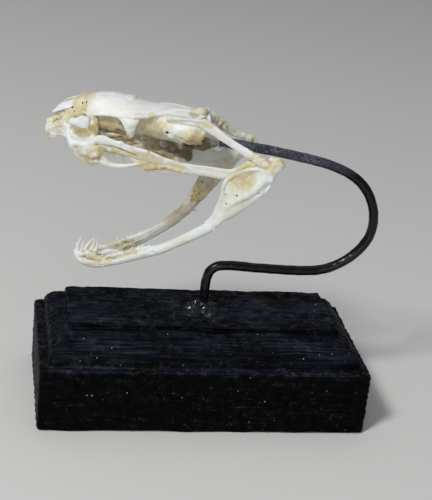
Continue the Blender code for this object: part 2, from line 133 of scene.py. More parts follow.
class Clay:
    """A grid of distances to a bone's surface, negative inside."""

    ROD_STEP = 0.6
    THINNEST = 0.05
    HOLLOW_REACH = 4

    def __init__(self, low, high, voxel=VOXEL):
        self.low = np.array(low, float)
        self.voxel = voxel
        self.count = np.ceil((np.array(high) - self.low) / voxel).astype(int) + 1
        self.field = np.full(self.count, FAR_AWAY, np.float32)
        self.half = FAR

    def halves(self):
        """For a loop whose strokes are made on the right half and then mirrored on the left."""
        for self.half in (FAR, NEAR):
            yield
        self.half = FAR

    def place(self, point):
        """A point or a station, on the half that is being worked on."""
        return (point[0], point[1] * self.half, *point[2:])

    def window(self, low, high):
        """The part of the grid within a box, as slices, and its coordinates."""
        start = np.clip(np.floor((np.array(low) - self.low) / self.voxel), 0, self.count).astype(int)
        stop = np.clip(np.ceil((np.array(high) - self.low) / self.voxel) + 1, 0, self.count).astype(int)
        cut = tuple(slice(a, b) for a, b in zip(start, stop))
        ticks = [self.low[i] + self.voxel * np.arange(start[i], stop[i], dtype=np.float32) for i in range(3)]
        return cut, np.meshgrid(*ticks, indexing="ij", sparse=True)

    def blend_in(self, cut, shape, blend, carve):
        """Join a shape to the clay, or carve it out."""
        sign = -1 if carve else 1
        self.field[cut] = sign * soft_min(sign * self.field[cut], shape, blend)

    def ball(self, centre, radii, blend, dip=0.0, carve=False):
        """An ellipsoid. Its dip tips its long way down forward."""
        centre = self.place(centre)
        tip = Matrix.Rotation(radians(dip), 3, "Y")
        margin = max(radii) + blend + 0.4
        cut, ticks = self.window(np.array(centre) - margin, np.array(centre) + margin)
        offsets = [tick - at for tick, at in zip(ticks, centre)]
        self.blend_in(cut, ellipsoid(offsets, tip.col, radii), blend, carve)

    def balls(self, spots, **how):
        """Several balls. A spot is (centre, radii), and its blend unless all have the same."""
        for spot in spots:
            self.ball(*spot, **how)

    def rod(self, stations, blend=0.3, lean=90, carve=False):
        """A long bone. A station is (u, s, w, half height, half thickness), and may end with how
        far its height leans, in degrees: 90 is upright and 0 is sideways."""
        rows = catmull([(*self.place(station), lean)[:6] for station in stations], self.ROD_STEP)
        whole = np.full(self.count, FAR_AWAY, np.float32)
        for a, b in zip(rows, rows[1:]):
            run = b[:3] - a[:3]
            length = np.linalg.norm(run)
            along = run / length
            tall = np.array((0.0, cos(radians(a[5])), sin(radians(a[5]))))
            tall -= along * tall.dot(along)
            tall /= np.linalg.norm(tall)
            across = np.cross(along, tall)
            margin = max(a[3], a[4], b[3], b[4]) + 0.7
            cut, ticks = self.window(np.minimum(a[:3], b[:3]) - margin, np.maximum(a[:3], b[:3]) + margin)
            offsets = [tick - at for tick, at in zip(ticks, a[:3])]
            forward, rise, out = (sum(offset * part for offset, part in zip(offsets, axis))
                                  for axis in (along, tall, across))
            share = np.clip(forward / length, 0, 1)
            past = forward - share * length
            height, width = (np.maximum(a[k] + (b[k] - a[k]) * share, self.THINNEST) for k in (3, 4))
            near = np.sqrt((rise / height) ** 2 + (out / width) ** 2 + (past / width) ** 2)
            steep = (rise / height ** 2) ** 2 + (out / width ** 2) ** 2 + (past / width ** 2) ** 2
            shape = near * (near - 1) / np.sqrt(steep + TINY)
            whole[cut] = np.minimum(whole[cut], shape)
        self.blend_in((slice(None),) * 3, whole, blend, carve)

    def cord(self, points, radius, blend=0.3, carve=False):
        """A round rod of one thickness through points."""
        self.rod([(*point, radius, radius) for point in points], blend, carve=carve)

    def slices(self, outline, first, last):
        """A body whose cross-section at u is a closed outline of (s, w) points, the same both sides."""
        end = 99
        cut, (us, ss, ws) = self.window((first, self.low[1], self.low[2]), (last, end, end))
        s = np.abs(ss[0])
        w = ws[0]
        for layer, u in zip(range(cut[0].start, cut[0].stop), us[:, 0, 0]):
            ring = outline(float(u))
            best = np.full(np.broadcast(s, w).shape, end, np.float32)
            inside = np.zeros(best.shape, bool)
            for (s0, w0), (s1, w1) in zip(ring, np.roll(ring, -1, axis=0)):
                ds, dw = s1 - s0, w1 - w0
                share = np.clip(((s - s0) * ds + (w - w0) * dw) / (ds * ds + dw * dw + TINY), 0, 1)
                best = np.minimum(best, (s - s0 - share * ds) ** 2 + (w - w0 - share * dw) ** 2)
                if w0 != w1:
                    inside ^= ((w0 > w) != (w1 > w)) & (s < s0 + ds * (w - w0) / dw)
            shape = np.sqrt(best) * np.where(inside, -1, 1)
            past = max(first + 0.6 - u, u - last + 0.6, 0.0)
            self.field[layer] = np.minimum(self.field[layer], shape + past ** 2)

    def groove(self, points, depth=0.12, width=0.16):
        """A fine furrow along a line, or a fine ridge if the depth is negative."""
        points = np.array([self.place(point) for point in points], float)
        reach = 4 * width + 0.3
        cut, ticks = self.window(points.min(0) - reach, points.max(0) + reach)
        best = 99.0
        for a, b in zip(points, points[1:]):
            run = b - a
            offsets = [tick - at for tick, at in zip(ticks, a)]
            share = np.clip(sum(o * r for o, r in zip(offsets, run)) / run.dot(run), 0, 1)
            best = np.minimum(best, sum((o - share * r) ** 2 for o, r in zip(offsets, run)))
        self.field[cut] += depth * np.exp(-(np.sqrt(best) / width) ** 2)

    def lumps(self, size, seed):
        """Smooth random lumps of one size over the whole grid, about -1 to 1."""
        rng = np.random.default_rng(seed)
        cells = [ceil(n * self.voxel / size) + 4 for n in self.count]
        out = rng.uniform(-1.6, 1.6, cells)
        for axis, n in enumerate(self.count):
            at = np.arange(n) * self.voxel / size + 1
            base = np.floor(at).astype(int)
            t = at - base
            weights = np.zeros((n, cells[axis]), np.float32)
            spline = ((1 - t) ** 3, 3 * t ** 3 - 6 * t ** 2 + 4,
                      -3 * t ** 3 + 3 * t ** 2 + 3 * t + 1, t ** 3)
            for k, weight in enumerate(spline):
                weights[np.arange(n), base + k - 1] = weight / 6
            out = np.moveaxis(np.tensordot(weights, out, axes=(1, axis)), 0, axis)
        return out.astype(np.float32)

    def roughen(self, size, depth, seed, centre=None, radii=None):
        """Lumps over the whole bone, or fading from a centre out to an ellipsoid."""
        bumps = self.lumps(size, seed) * depth
        if centre is not None:
            _, ticks = self.window(self.low, self.low + self.voxel * self.count)
            reach = sum(((tick - at) / r) ** 2 for tick, at, r in zip(ticks, self.place(centre), radii))
            bumps = bumps * np.clip(1 - reach, 0, 1)
        self.field += bumps

    def skin(self):
        """The surface as points, four-sided faces, and how hollow it is at each point."""
        field = self.field
        field[[0, -1]] = FAR_AWAY
        field[:, [0, -1]] = FAR_AWAY
        field[:, :, [0, -1]] = FAR_AWAY
        cells = self.count - 1
        total = int(cells.prod())
        sums = np.zeros((3, total))
        hits = np.zeros(total)
        faces = []
        for axis in range(3):
            one, two = (axis + 1) % 3, (axis + 2) % 3
            a = np.take(field, range(self.count[axis] - 1), axis)
            b = np.take(field, range(1, self.count[axis]), axis)
            spots = np.argwhere((a < 0) != (b < 0))
            below = a[tuple(spots.T)]
            share = below / (below - b[tuple(spots.T)])
            place = spots.astype(float)
            place[:, axis] += share
            corners = []
            for back_one, back_two in ((0, 0), (1, 0), (1, 1), (0, 1)):
                cell = spots.copy()
                cell[:, one] -= back_one
                cell[:, two] -= back_two
                flat = np.ravel_multi_index(cell.T, cells)
                hits += np.bincount(flat, minlength=total)
                for k in range(3):
                    sums[k] += np.bincount(flat, place[:, k], total)
                corners.append(flat)
            quad = np.stack(corners, 1)
            quad[below >= 0] = quad[below >= 0][:, ::-1]
            faces.append(quad)
        used = np.flatnonzero(hits)
        number = np.full(total, -1)
        number[used] = np.arange(len(used))
        spots = (sums[:, used] / hits[used]).T
        return self.low + spots * self.voxel, number[np.vstack(faces)], self.hollowness(spots)

    def hollowness(self, spots):
        """How much bone stands around each surface point: about 0.5 if flat, 1 in a pit."""
        solid = (self.field < 0).astype(np.float32)
        reach = self.HOLLOW_REACH
        for axis in range(3):
            running = np.cumsum(solid, axis)
            n = self.count[axis]
            high = np.take(running, np.minimum(np.arange(n) + reach, n - 1), axis)
            low = np.take(running, np.maximum(np.arange(n) - reach - 1, 0), axis)
            solid = (high - low) / (2 * reach + 1)
        at = np.clip(np.round(spots).astype(int), 0, self.count - 1)
        return solid[tuple(at.T)]


def tooth(root, tip, radius, bow):
    """A curved cone between two skull points. Bow is how far its middle leans from a straight line."""
    sides, rings = 8, 9
    root, tip, bow = (np.array(v, float) for v in (root, tip, bow))
    run = (tip - root) / np.linalg.norm(tip - root)
    across = np.cross(run, (0.3, 1.0, 0.2))
    across /= np.linalg.norm(across)
    other = np.cross(run, across)
    points = []
    for t in np.linspace(0, 1, rings):
        centre = root + (tip - root) * t + bow * 4 * t * (1 - t)
        width = radius * (1 - t ** 1.4) + 0.025
        for turn in np.arange(sides) * 2 * pi / sides:
            points.append(centre + (across * cos(turn) + other * sin(turn)) * width)
    cap = np.array(((0, 1, 2, 3), (0, 3, 4, 7), (4, 5, 6, 7)))
    return np.array(points), np.vstack((tube_faces(rings, sides), cap[:, ::-1], cap + (rings - 1) * sides))


class Shader:
    """A principled material with short calls for the nodes that feed it. Sizes are in metres."""

    def __init__(self, name, **uniform):
        self.material = bpy.data.materials.new(name)
        self.material.use_nodes = True
        self.tree = self.material.node_tree
        self.sockets = self.tree.nodes["Principled BSDF"].inputs
        for socket, value in uniform.items():
            self.sockets[socket.replace("_", " ").title().replace("Ior", "IOR")].default_value = value
        self.place = self.node("ShaderNodeTexCoord").outputs["Object"]

    def node(self, kind, **inputs):
        node = self.tree.nodes.new(kind)
        for key, value in inputs.items():
            self.feed(node.inputs[key.replace("_", " ")], value)
        return node

    def feed(self, socket, value):
        if isinstance(value, bpy.types.NodeSocket):
            self.tree.links.new(value, socket)
        else:
            socket.default_value = value

    def painted(self):
        """The four values that add_mesh paints on the points."""
        wear = self.node("ShaderNodeAttribute")
        wear.attribute_name = "wear"
        parts = self.node("ShaderNodeSeparateColor", Color=wear.outputs["Color"])
        return [parts.outputs[key] for key in ("Red", "Green", "Blue")] + [wear.outputs["Alpha"]]

    def noise(self, size, detail=3.0, stretch=None, roughness=0.55):
        """Smooth noise. A small stretch draws it out along that axis."""
        place = self.place
        if stretch:
            place = self.node("ShaderNodeMapping", Vector=place, Scale=stretch).outputs["Vector"]
        how = {"Scale": 1 / size, "Detail": detail, "Roughness": roughness}
        return self.node("ShaderNodeTexNoise", Vector=place, **how).outputs["Fac"]

    def specks(self, size):
        """Distance to scattered points, in shares of their spacing."""
        return self.node("ShaderNodeTexVoronoi", Vector=self.place, Scale=1 / size).outputs["Distance"]

    def range(self, value, low, high, to_low=0.0, to_high=1.0):
        ends = {"From_Min": low, "From_Max": high, "To_Min": to_low, "To_Max": to_high}
        return self.node("ShaderNodeMapRange", Value=value, **ends).outputs["Result"]

    def math(self, operation, a, b):
        node = self.tree.nodes.new("ShaderNodeMath")
        node.operation = operation
        self.feed(node.inputs[0], a)
        self.feed(node.inputs[1], b)
        return node.outputs[0]

    def times(self, a, b):
        return self.math("MULTIPLY", a, b)

    def mix(self, factor, a, b):
        node = self.tree.nodes.new("ShaderNodeMix")
        node.data_type = "RGBA"
        self.feed(node.inputs["Factor"], factor)
        for socket, colour in ((node.inputs[6], a), (node.inputs[7], b)):
            self.feed(socket, colour if isinstance(colour, bpy.types.NodeSocket) else (*colour, 1.0))
        return node.outputs[2]

    def bump(self, height, depth, strength, under=None):
        node = self.node("ShaderNodeBump", Height=height, Strength=strength, Distance=depth)
        if under is not None:
            self.feed(node.inputs["Normal"], under)
        return node.outputs["Normal"]

    def finish(self, colour, roughness, normal):
        self.feed(self.sockets["Base Color"], colour)
        self.feed(self.sockets["Roughness"], roughness)
        self.feed(self.sockets["Normal"], normal)
        return self.material


IVORY = (0.80, 0.785, 0.71)
CHALK = (0.83, 0.87, 0.87)
FIBRE = (0.60, 0.585, 0.54)
STAIN_YELLOW = (0.68, 0.6, 0.33)
STAIN_TAN = (0.38, 0.27, 0.105)
DIRT_AND_SHADE_BROWN = (0.145, 0.113, 0.05)
ENAMEL = (0.90, 0.87, 0.78)


def bone_material():
    """Dry bone. The painted values say where it is yellow, tan, dirty or darkened by painted shade, or
    tooth.
    """
    shader = Shader("dry_bone", subsurface_weight=0.12, subsurface_scale=0.9 * MM, specular_ior_level=0.45,
                    subsurface_radius=(1.0, 0.65, 0.4))
    yellow, tan, dirt_and_shade, enamel = shader.painted()
    cloud = shader.noise(4.5 * MM, 4)
    mottle = shader.noise(1.2 * MM, 5, roughness=0.65)
    grain = shader.noise(0.33 * MM, 3)
    fibres = shader.noise(0.55 * MM, 4, (0.2, 1.0, 1.0))
    patch = shader.range(mottle, 0.32, 0.62, 0.5, 1.3)
    colour = shader.mix(shader.range(cloud, 0.34, 0.56), IVORY, CHALK)
    for share, layer in (
            (shader.times(shader.range(fibres, 0.5, 0.72), 0.34), FIBRE),
            (shader.times(yellow, patch), STAIN_YELLOW),
            (shader.times(tan, patch), STAIN_TAN),
            (shader.times(shader.range(grain, 0.55, 0.66), shader.times(yellow, 0.5)), STAIN_TAN),
            (shader.times(shader.range(grain, 0.3, 0.24), shader.times(yellow, 0.8)), ENAMEL),
            # Dirt and painted shade, in dark brown.
            (shader.times(dirt_and_shade, shader.range(mottle, 0.25, 0.6, 0.75, 1.15)), DIRT_AND_SHADE_BROWN),
            (enamel, ENAMEL)):
        colour = shader.mix(share, colour, layer)
    normal = shader.bump(grain, 0.06 * MM, 0.55)
    normal = shader.bump(fibres, 0.07 * MM, 0.5, normal)
    return shader.finish(colour, shader.range(mottle, 0.3, 0.7, 0.36, 0.55), normal)


BONE = bone_material()


def add_mesh(name, points, faces, material, wear=None):
    data = bpy.data.meshes.new(name)
    data.vertices.add(len(points))
    data.vertices.foreach_set("co", np.asarray(points, np.float32).ravel())
    data.loops.add(faces.size)
    data.loops.foreach_set("vertex_index", faces.ravel().astype(np.int32))
    data.polygons.add(len(faces))
    data.polygons.foreach_set("loop_start", np.arange(0, faces.size, faces.shape[1], dtype=np.int32))
    data.update(calc_edges=True)
    data.shade_smooth()
    if wear is not None:
        layer = data.attributes.new("wear", "FLOAT_COLOR", "POINT")
        layer.data.foreach_set("color", np.asarray(wear, np.float32).ravel())
    data.materials.append(material)
    piece = bpy.data.objects.new(name, data)
    bpy.context.scene.collection.objects.link(piece)
    return piece


def keep(piece, node):
    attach(piece, "root")
    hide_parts(node)


# Kinds of stain; the third is dirt and painted shade. The first three are also the painted values that they
# add to.
YELLOW, TAN, DIRT_AND_SHADE, WHITE = 0, 1, 2, 3
# Painted shade darkens the hollows: where it starts, how fast it grows and the most of it.
HOLLOW_SHADE_START, HOLLOW_SHADE_GROWTH, HOLLOW_SHADE_MOST = 0.57, 2.6, 0.7
# Stains have wavy borders: how far they sway, how long a wave is, and a seed for each axis.
STAIN_SWAY, STAIN_WAVE, STAIN_SEEDS = 0.5, 1.7, (900, 901, 902)
# Teeth are white enamel.
TOOTH_WEAR = (0.0, 0.0, 0.0, 1.0)


def on_both_sides(stains):
    """Stains given for the right side, on the left and then on the right."""
    return [(kind, (u, s * half, w), radii, strength)
            for half in (NEAR, FAR) for kind, (u, s, w), radii, strength in stains]


def make_bone(name, side, clay, stains, tone=(0.0, 0.0), teeth=(), enamel=0.0):
    """Skin a bone, add its teeth, stain it and paint shade into its hollows. A stain is (kind, centre,
    radii, strength).
    """
    points, faces, hollow = clay.skin()
    wear = np.zeros((len(points), 4))
    wear[:, YELLOW], wear[:, TAN] = tone
    # Painted shade: the deeper a point sits in a hollow, the darker brown it is painted.
    wear[:, DIRT_AND_SHADE] = np.clip((hollow - HOLLOW_SHADE_START) * HOLLOW_SHADE_GROWTH, 0, HOLLOW_SHADE_MOST)
    sway = np.stack([ripple(points, STAIN_WAVE, seed) for seed in STAIN_SEEDS], 1)
    drift = points + STAIN_SWAY * sway
    for kind, centre, radii, strength in stains:
        reach = (((drift - centre) / radii) ** 2).sum(1)
        share = strength * np.clip(1.4 - 1.4 * reach, 0, 1)
        if kind == WHITE:
            wear[:, :3] *= 1 - share[:, None]
        else:
            wear[:, kind] += share
    wear[:, 3] = enamel
    wear = np.clip(wear, 0, 1)
    for spike in teeth:
        more, quads = tooth(*spike)
        faces = np.vstack((faces, quads + len(points)))
        points = np.vstack((points, more))
        wear = np.vstack((wear, np.tile(TOOTH_WEAR, (len(more), 1))))
    if side != NEAR:
        faces = faces[:, ::-1]
    node = f"{name}_{SIDES[side]}" if side else name
    keep(add_mesh(node + "_bone", world(points, side or FAR), faces, BONE, wear), node)


# Braincase cross-sections, close to the solid's:
# (u, crown w, roof s, roof w, wall s, wall w, floor s, floor w, keel w).
BRAINCASE = (
    (-1, 2.7, 1.5, 2.3, 2.6, 0.6, 1.6, -1.5, -1.95),
    (0.4, 3.9, 2.4, 3.4, 3.9, 1.4, 2.2, -1.3, -1.9),
    (2.2, 5.9, 2.9, 5.3, 4.8, 2.5, 2.6, -0.8, -1.6),
    (5, 6.5, 3.2, 5.7, 5.2, 2.8, 2.8, -0.5, -1.5),
    (8, 6.9, 3.1, 6, 5.1, 2.9, 2.8, -0.4, -1.4),
    (10.5, 7.1, 3, 6, 4.5, 3, 2.6, -0.3, -1.2),
    (13, 7.1, 3.4, 5.6, 3.4, 3.1, 2.3, -0.2, -1),
    (15.5, 7.4, 4.3, 5.3, 3, 3.2, 2, 0, -0.8),
    (17.8, 7.9, 5, 5.3, 3, 3, 2.3, 0.1, -0.7),
    (20, 8.4, 4.9, 5.1, 3.2, 3, 2.7, 0.1, -0.6),
    (23, 8.9, 4.4, 5.1, 3.3, 3, 2.8, 0.2, -0.4),
    (26, 8.6, 4.2, 4.9, 3.3, 3.1, 2.7, 0.5, 0),
    (28.6, 7.9, 3.7, 4.7, 3, 3.3, 2.2, 1.2, 0.8))


def braincase_outline(u):
    """Half of the cross-section at u, from the crown to the keel, closed past the midline."""
    columns = np.array(BRAINCASE).T
    _, crown_w, roof_s, roof_w, wall_s, wall_w, floor_s, floor_w, keel_w = (
        np.interp(u, columns[0], column) for column in columns)
    half = ((0, crown_w), (roof_s * 0.55, crown_w - 0.22 * (crown_w - roof_w)), (roof_s, roof_w + 0.3),
        (roof_s * 0.97, roof_w - 0.35), (wall_s, wall_w + 0.7), (wall_s, wall_w - 0.7),
        ((wall_s + floor_s) / 2, (wall_w + floor_w) / 2 - 0.3), (floor_s * 0.8, floor_w - 0.2), (0, keel_w))
    past = 3
    line = catmull([(s, w, 0) for s, w in half], 0.6)[:, :2]
    return np.vstack(((-past, crown_w), line, (-past, keel_w)))


def build_braincase():
    """Frontals, parietal, ear region and occiput, with dark lumps below and dried tissue behind."""
    clay = Clay((-2.7, -6.3, -6.9), (29.4, 6.3, 10.2))
    clay.slices(braincase_outline, -1.2, 28.7)
    clay.ball((-1.2, 0, -1.7), (0.9, 1, 0.7), 0.5)
    clay.rod([(28.6, 0, 0.5, 0.5, 0.6), (20, 0, -0.5, 0.5, 0.8), (12, 0, -1.1, 0.5, 0.9)], 0.5)
    for _ in clay.halves():
        # The eye socket, the opening behind it, its lower edge and its brow.
        clay.ball((22.9, 5.5, 2.75), (3.9, 1.9, 2.2), 0.3, carve=True)
        clay.cord([(20.7, 3.6, 3.6), (19.4, 2.2, 3.4)], 0.5, 0.25, carve=True)
        clay.cord([(25.6, 2.6, 1.3), (22, 2.5, 0.7), (19.4, 2.6, 0)], 0.3, 0.4)
        rim = [(28.2, 3.9, 4.4), (26.4, 4.15, 4.6), (24.8, 4.3, 4.9), (23.1, 4.4, 5), (21.2, 4.6, 4.75),
            (20, 4.85, 4.3)]
        clay.cord(rim, 0.25, 0.5)
        # The crest for the jaw muscles, and the hollow temple below it.
        crest = [(17.8, 5, 5.3), (15.6, 4.3, 5.45), (13.6, 3.6, 5.75), (11.8, 2.6, 6.25), (9, 1.5, 6.75),
            (6, 0.7, 6.6), (3.6, 0.2, 6)]
        clay.cord(crest, 0.28, 0.8)
        clay.ball((14.6, 6.7, 2.4), (4, 3.35, 2.5), 0.3, dip=-32, carve=True)
        clay.groove([(15.4, 3.5, 4), (14.4, 3.55, 4.25), (13.4, 3.8, 4.3)], -0.14, 0.2)
        # The swollen ear region, with its openings.
        clay.balls([((9.3, 4.4, 1.5), (0.8, 0.5, 0.6), 0.4), ((9.4, 3.9, 3), (2, 1, 1.5), 0.8),
            ((5, 4.1, 2.3), (3.4, 1.2, 2.3), 1), ((3.6, 3.7, 4.6), (1.8, 1.1, 1.1), 0.7),
            ((-0.1, 3.3, 1), (0.85, 0.85, 1), 0.35), ((2.6, 2.4, -0.9), (1.7, 1.2, 0.9), 0.6),
            ((6.4, 1.6, -1.4), (2.6, 1.3, 0.8), 0.8)])
        clay.ball((1.6, 4.7, 1.3), (1, 0.8, 1), 0.25, carve=True)
        clay.ball((6.4, 4.5, -0.1), (1.1, 0.9, 0.35), 0.2, dip=-12, carve=True)
        clay.balls([((10.4, 4.4, 2.4), (0.4, 1.3, 0.34), 0.1), ((6.9, 5.3, 1.4), (0.3, 0.6, 0.3), 0.1),
            ((0.2, 4.3, 2.8), (0.5, 0.8, 0.35), 0.1)], carve=True)
        # Sutures and furrows.
        clay.groove([(12.4, 4.3, 2), (12.9, 3.8, 4.3), (12.6, 3, 6.1), (12.9, 1.6, 6.8)], 0.07)
        clay.groove([(27.6, 2.2, 7.1), (24, 2.7, 7.2), (20.4, 3.4, 6.4)], 0.07, 0.2)
        clay.groove([(26.4, 1.2, 8.2), (22, 1.4, 8.6)], 0.06, 0.2)
        clay.groove([(16.6, 2.6, 6.7), (12, 1.7, 6.9), (8, 1, 6.9)], 0.08, 0.2)
        clay.roughen(0.75, 0.36, 11, (4.2, 4.9, 1.8), (4.6, 3.2, 3.2))
        clay.roughen(0.42, 0.16, 12, (3.6, 4.7, 1.4), (5.4, 3.2, 3.6))
        clay.roughen(0.5, 0.13, 13, (22, 2.4, 0.6), (5.5, 1.5, 1.3))
    # Small swellings on the crown, and the ridge across its back.
    clay.balls([((11.6, 1.4, 6.85), (1.3, 0.8, 0.3), 0.4), ((19.1, 0.2, 8.1), (0.9, 1.6, 0.35), 0.7)])
    clay.cord([(0.8, -3.4, 2.8), (1.2, -2.3, 4.8), (1.5, 0, 5.7), (1.2, 2.3, 4.8),
        (0.8, 3.4, 2.8)], 0.3, 0.7)
    # A crumbly knob on the back of the crown.
    clay.balls([((3.5, -0.2, 6.45), (1.35, 1.25, 1.05), 0.35), ((2.9, 1.3, 6.3), (0.9, 0.8, 0.8), 0.35),
        ((3.1, -2.5, 6.2), (0.75, 0.6, 0.35), 0.2)])
    clay.ball((3.4, -1.3, 5.5), (1, 0.35, 0.45), 0.2, carve=True)
    clay.roughen(0.5, 0.16, 14, (4.6, -1.4, 6.6), (2.8, 2.6, 1.6))
    # The midline suture, and the wavy one across the crown.
    median = [(28.6, 0, 8), (26, 0.06, 8.65), (23, -0.05, 8.95), (20.4, 0.03, 8.5), (18.8, 0, 8.15)]
    clay.groove(median, 0.11, 0.15)
    zigzag = [(18.6 + 0.35 * (-1) ** i, s, 8.2 - 0.035 * s ** 2 - 0.06 * abs(s) ** 1.6)
              for i, s in enumerate(np.linspace(-4.4, 4.4, 15))]
    clay.groove(zigzag, 0.08, 0.14)
    # The hole at the back, where the wire goes in.
    clay.cord([(2.6, 0, 0.3), (-3.5, 0, 0)], 1.32, 0.2, carve=True)
    # Dark lumps under the braincase, and dried tissue at its back on the right.
    clay.balls([((8.2, 0, -1.7), (1.9, 0.9, 0.8)), ((6.9, -0.2, -2.4), (1.4, 1, 1.3)),
        ((5.6, 0.2, -2.9), (1, 0.9, 1.1)), ((10.2, 0, -2.2), (2, 0.7, 1.1)),
        ((8.3, 0.1, -3), (1.6, 0.8, 1.3)), ((6.6, 0, -3.9), (1.3, 0.8, 1.2)),
        ((5.3, 0.1, -4.5), (0.9, 0.7, 1.3))], blend=0.4)
    clay.balls([((1.4, 2.5, 4.4), (1.2, 1.2, 1)), ((0.5, 3.2, 3.6), (1, 1.1, 0.95)),
        ((-0.5, 3.9, 2.6), (0.95, 1, 0.75))], blend=0.35)
    clay.roughen(0.55, 0.4, 15, (4.6, 0, -1.4), (5.6, 5, 2.2))
    clay.roughen(0.6, 0.4, 16, (6.8, 0, -3.8), (4, 2.4, 2.8))
    clay.roughen(2.4, 0.1, 1)
    clay.roughen(0.9, 0.035, 2)
    # The small dark brown patch at the top back of the eye socket, under the postorbital, is painted shadow.
    paired = [(TAN, (24.7, 3.4, 2.6), (3.4, 1.8, 2.5), 0.44), (DIRT_AND_SHADE, (20.3, 3.4, 3.3), (1.2, 2, 1.5), 0.5),
        (YELLOW, (23.4, 3.4, 2.2), (5.6, 1.4, 2.9), 1), (DIRT_AND_SHADE, (22.4, 3, 0.5), (5.4, 2.6, 1), 0.6),
        (TAN, (22.6, 2.6, 0.5), (5.8, 2.6, 1.2), 0.65), (TAN, (14.6, 3.5, 1.9), (4.6, 2.4, 3.4), 0.22),
        (YELLOW, (14.6, 3.6, 2.4), (5, 2.2, 3.6), 0.72), (YELLOW, (14.2, 3.8, 5.4), (1.6, 1.4, 0.9), 0.6),
        (YELLOW, (10.6, 4.4, 4), (2.2, 2, 2.2), 0.35), (YELLOW, (4.4, 4.9, 2.2), (4.6, 2.4, 2.8), 0.8),
        (TAN, (3.4, 4.9, 1.6), (3.8, 2.2, 2.4), 0.5), (DIRT_AND_SHADE, (3.2, 4.7, 0.8), (3, 2, 1.8), 0.22),
        (DIRT_AND_SHADE, (0.9, 3.4, 0.3), (2.8, 2.4, 2.4), 0.85), (YELLOW, (8.6, 4.4, 1.6), (2.4, 1.8, 1.8), 0.35),
        (DIRT_AND_SHADE, (5, 2.2, -1.3), (5, 3, 1.5), 0.9), (TAN, (12, 2.4, -0.6), (5.4, 2.8, 1.4), 0.5)]
    stains = on_both_sides(paired)
    # Dark brown over the lumps under the braincase.
    stains += [(YELLOW, (0.4, 3.2, 3.4), (2.2, 1.6, 1.8), 0.6), (DIRT_AND_SHADE, (7.4, 0, -3.2), (5.6, 3.4, 4.6), 1),
        (YELLOW, (7, 0, -3), (4.6, 2.4, 2.6), 0.6), (TAN, (18, 0, -0.8), (13, 3.4, 1.8), 0.5),
        (YELLOW, (3.4, -0.2, 6.4), (2.4, 3.2, 1.9), 0.5), (TAN, (5.1, -2.2, 6.3), (1.5, 1.7, 1), 0.5),
        (YELLOW, (28, 0, 7.2), (1.2, 4.2, 2.6), 0.5), (YELLOW, (9, 0, 6.9), (4, 1.6, 1.2), 0.14)]
    make_bone("braincase", MIDDLE, clay, stains, tone=(0.03, 0))


def build_premaxilla():
    """The beak at the tip of the snout."""
    clay = Clay((31.4, -4, -4.4), (38.4, 4, 3.6))
    clay.rod([(37, 0, -3.75, 0.35, 0.35), (37.1, 0, -3, 0.85, 0.6), (37.25, 0, -1.9, 1.4, 0.78),
        (37.35, 0, -0.9, 1.5, 0.72), (37.2, 0, 0.1, 1, 0.62), (37.2, 0, 0.7, 0.8, 0.5)], lean=0)
    clay.rod([(37, 0, 0.4, 0.6, 0.55), (36.2, 0, 1, 0.7, 0.6), (35.3, 0, 1.9, 0.9, 0.75),
        (34.2, 0, 2.5, 1, 0.8)], 0.5, lean=0)
    for _ in clay.halves():
        # A knob, and the wing that runs back on this side with its ridges.
        clay.ball((37.35, 0.55, 0.75), (0.42, 0.4, 0.38), 0.3)
        clay.rod([(37.2, 0.4, -2, 1.6, 0.45), (36.3, 0.9, -1.6, 1.6, 0.42), (35.2, 1.5, -0.6, 1.7, 0.4),
            (33.9, 2.2, -0.1, 2.1, 0.42), (32.5, 2.9, -0.2, 2.3, 0.42)], 0.4)
        clay.cord([(37.6, 0.7, -1.6), (36.4, 1.35, -0.5), (35.2, 1.9, 0.25), (34.1, 2.4, 0.8)], 0.26, 0.35)
        clay.cord([(33.8, 2.2, 2.6), (33.5, 2.55, 1.8), (33.2, 2.85, 0.9), (32.6, 3.2, 0)], 0.22, 0.4)
        clay.cord([(36.3, 1, -2.3), (35.2, 1.7, -1.75), (34, 2.3, -1.6), (32.8, 3, -1.4)], 0.24, 0.35)
        for u in (35.7, 35.1, 34.5):
            clay.groove([(u, 0.9, 2.7), (u - 0.1, 1.5, 1.6), (u - 0.15, 1.9, 0.7)])
    clay.roughen(0.8, 0.13, 21)
    clay.roughen(0.35, 0.06, 22)
    stains = [(YELLOW, (34.4, 0, 1.4), (2.4, 4, 2.2), 0.62),
        (YELLOW, (37.4, 0, -1.4), (2.2, 2.4, 3.2), 0.6), (TAN, (37.6, 0, -2.2), (1.8, 2, 1.8), 0.14),
        (TAN, (34.8, 0, -0.9), (1.7, 4, 1), 0.42), (YELLOW, (34.8, 0, -0.9), (2.2, 4, 1.4), 0.4),
        (WHITE, (37.2, 0, -0.9), (0.9, 2, 0.8), 0.6)]
    make_bone("premaxilla", MIDDLE, clay, stains, tone=(0.1, 0))


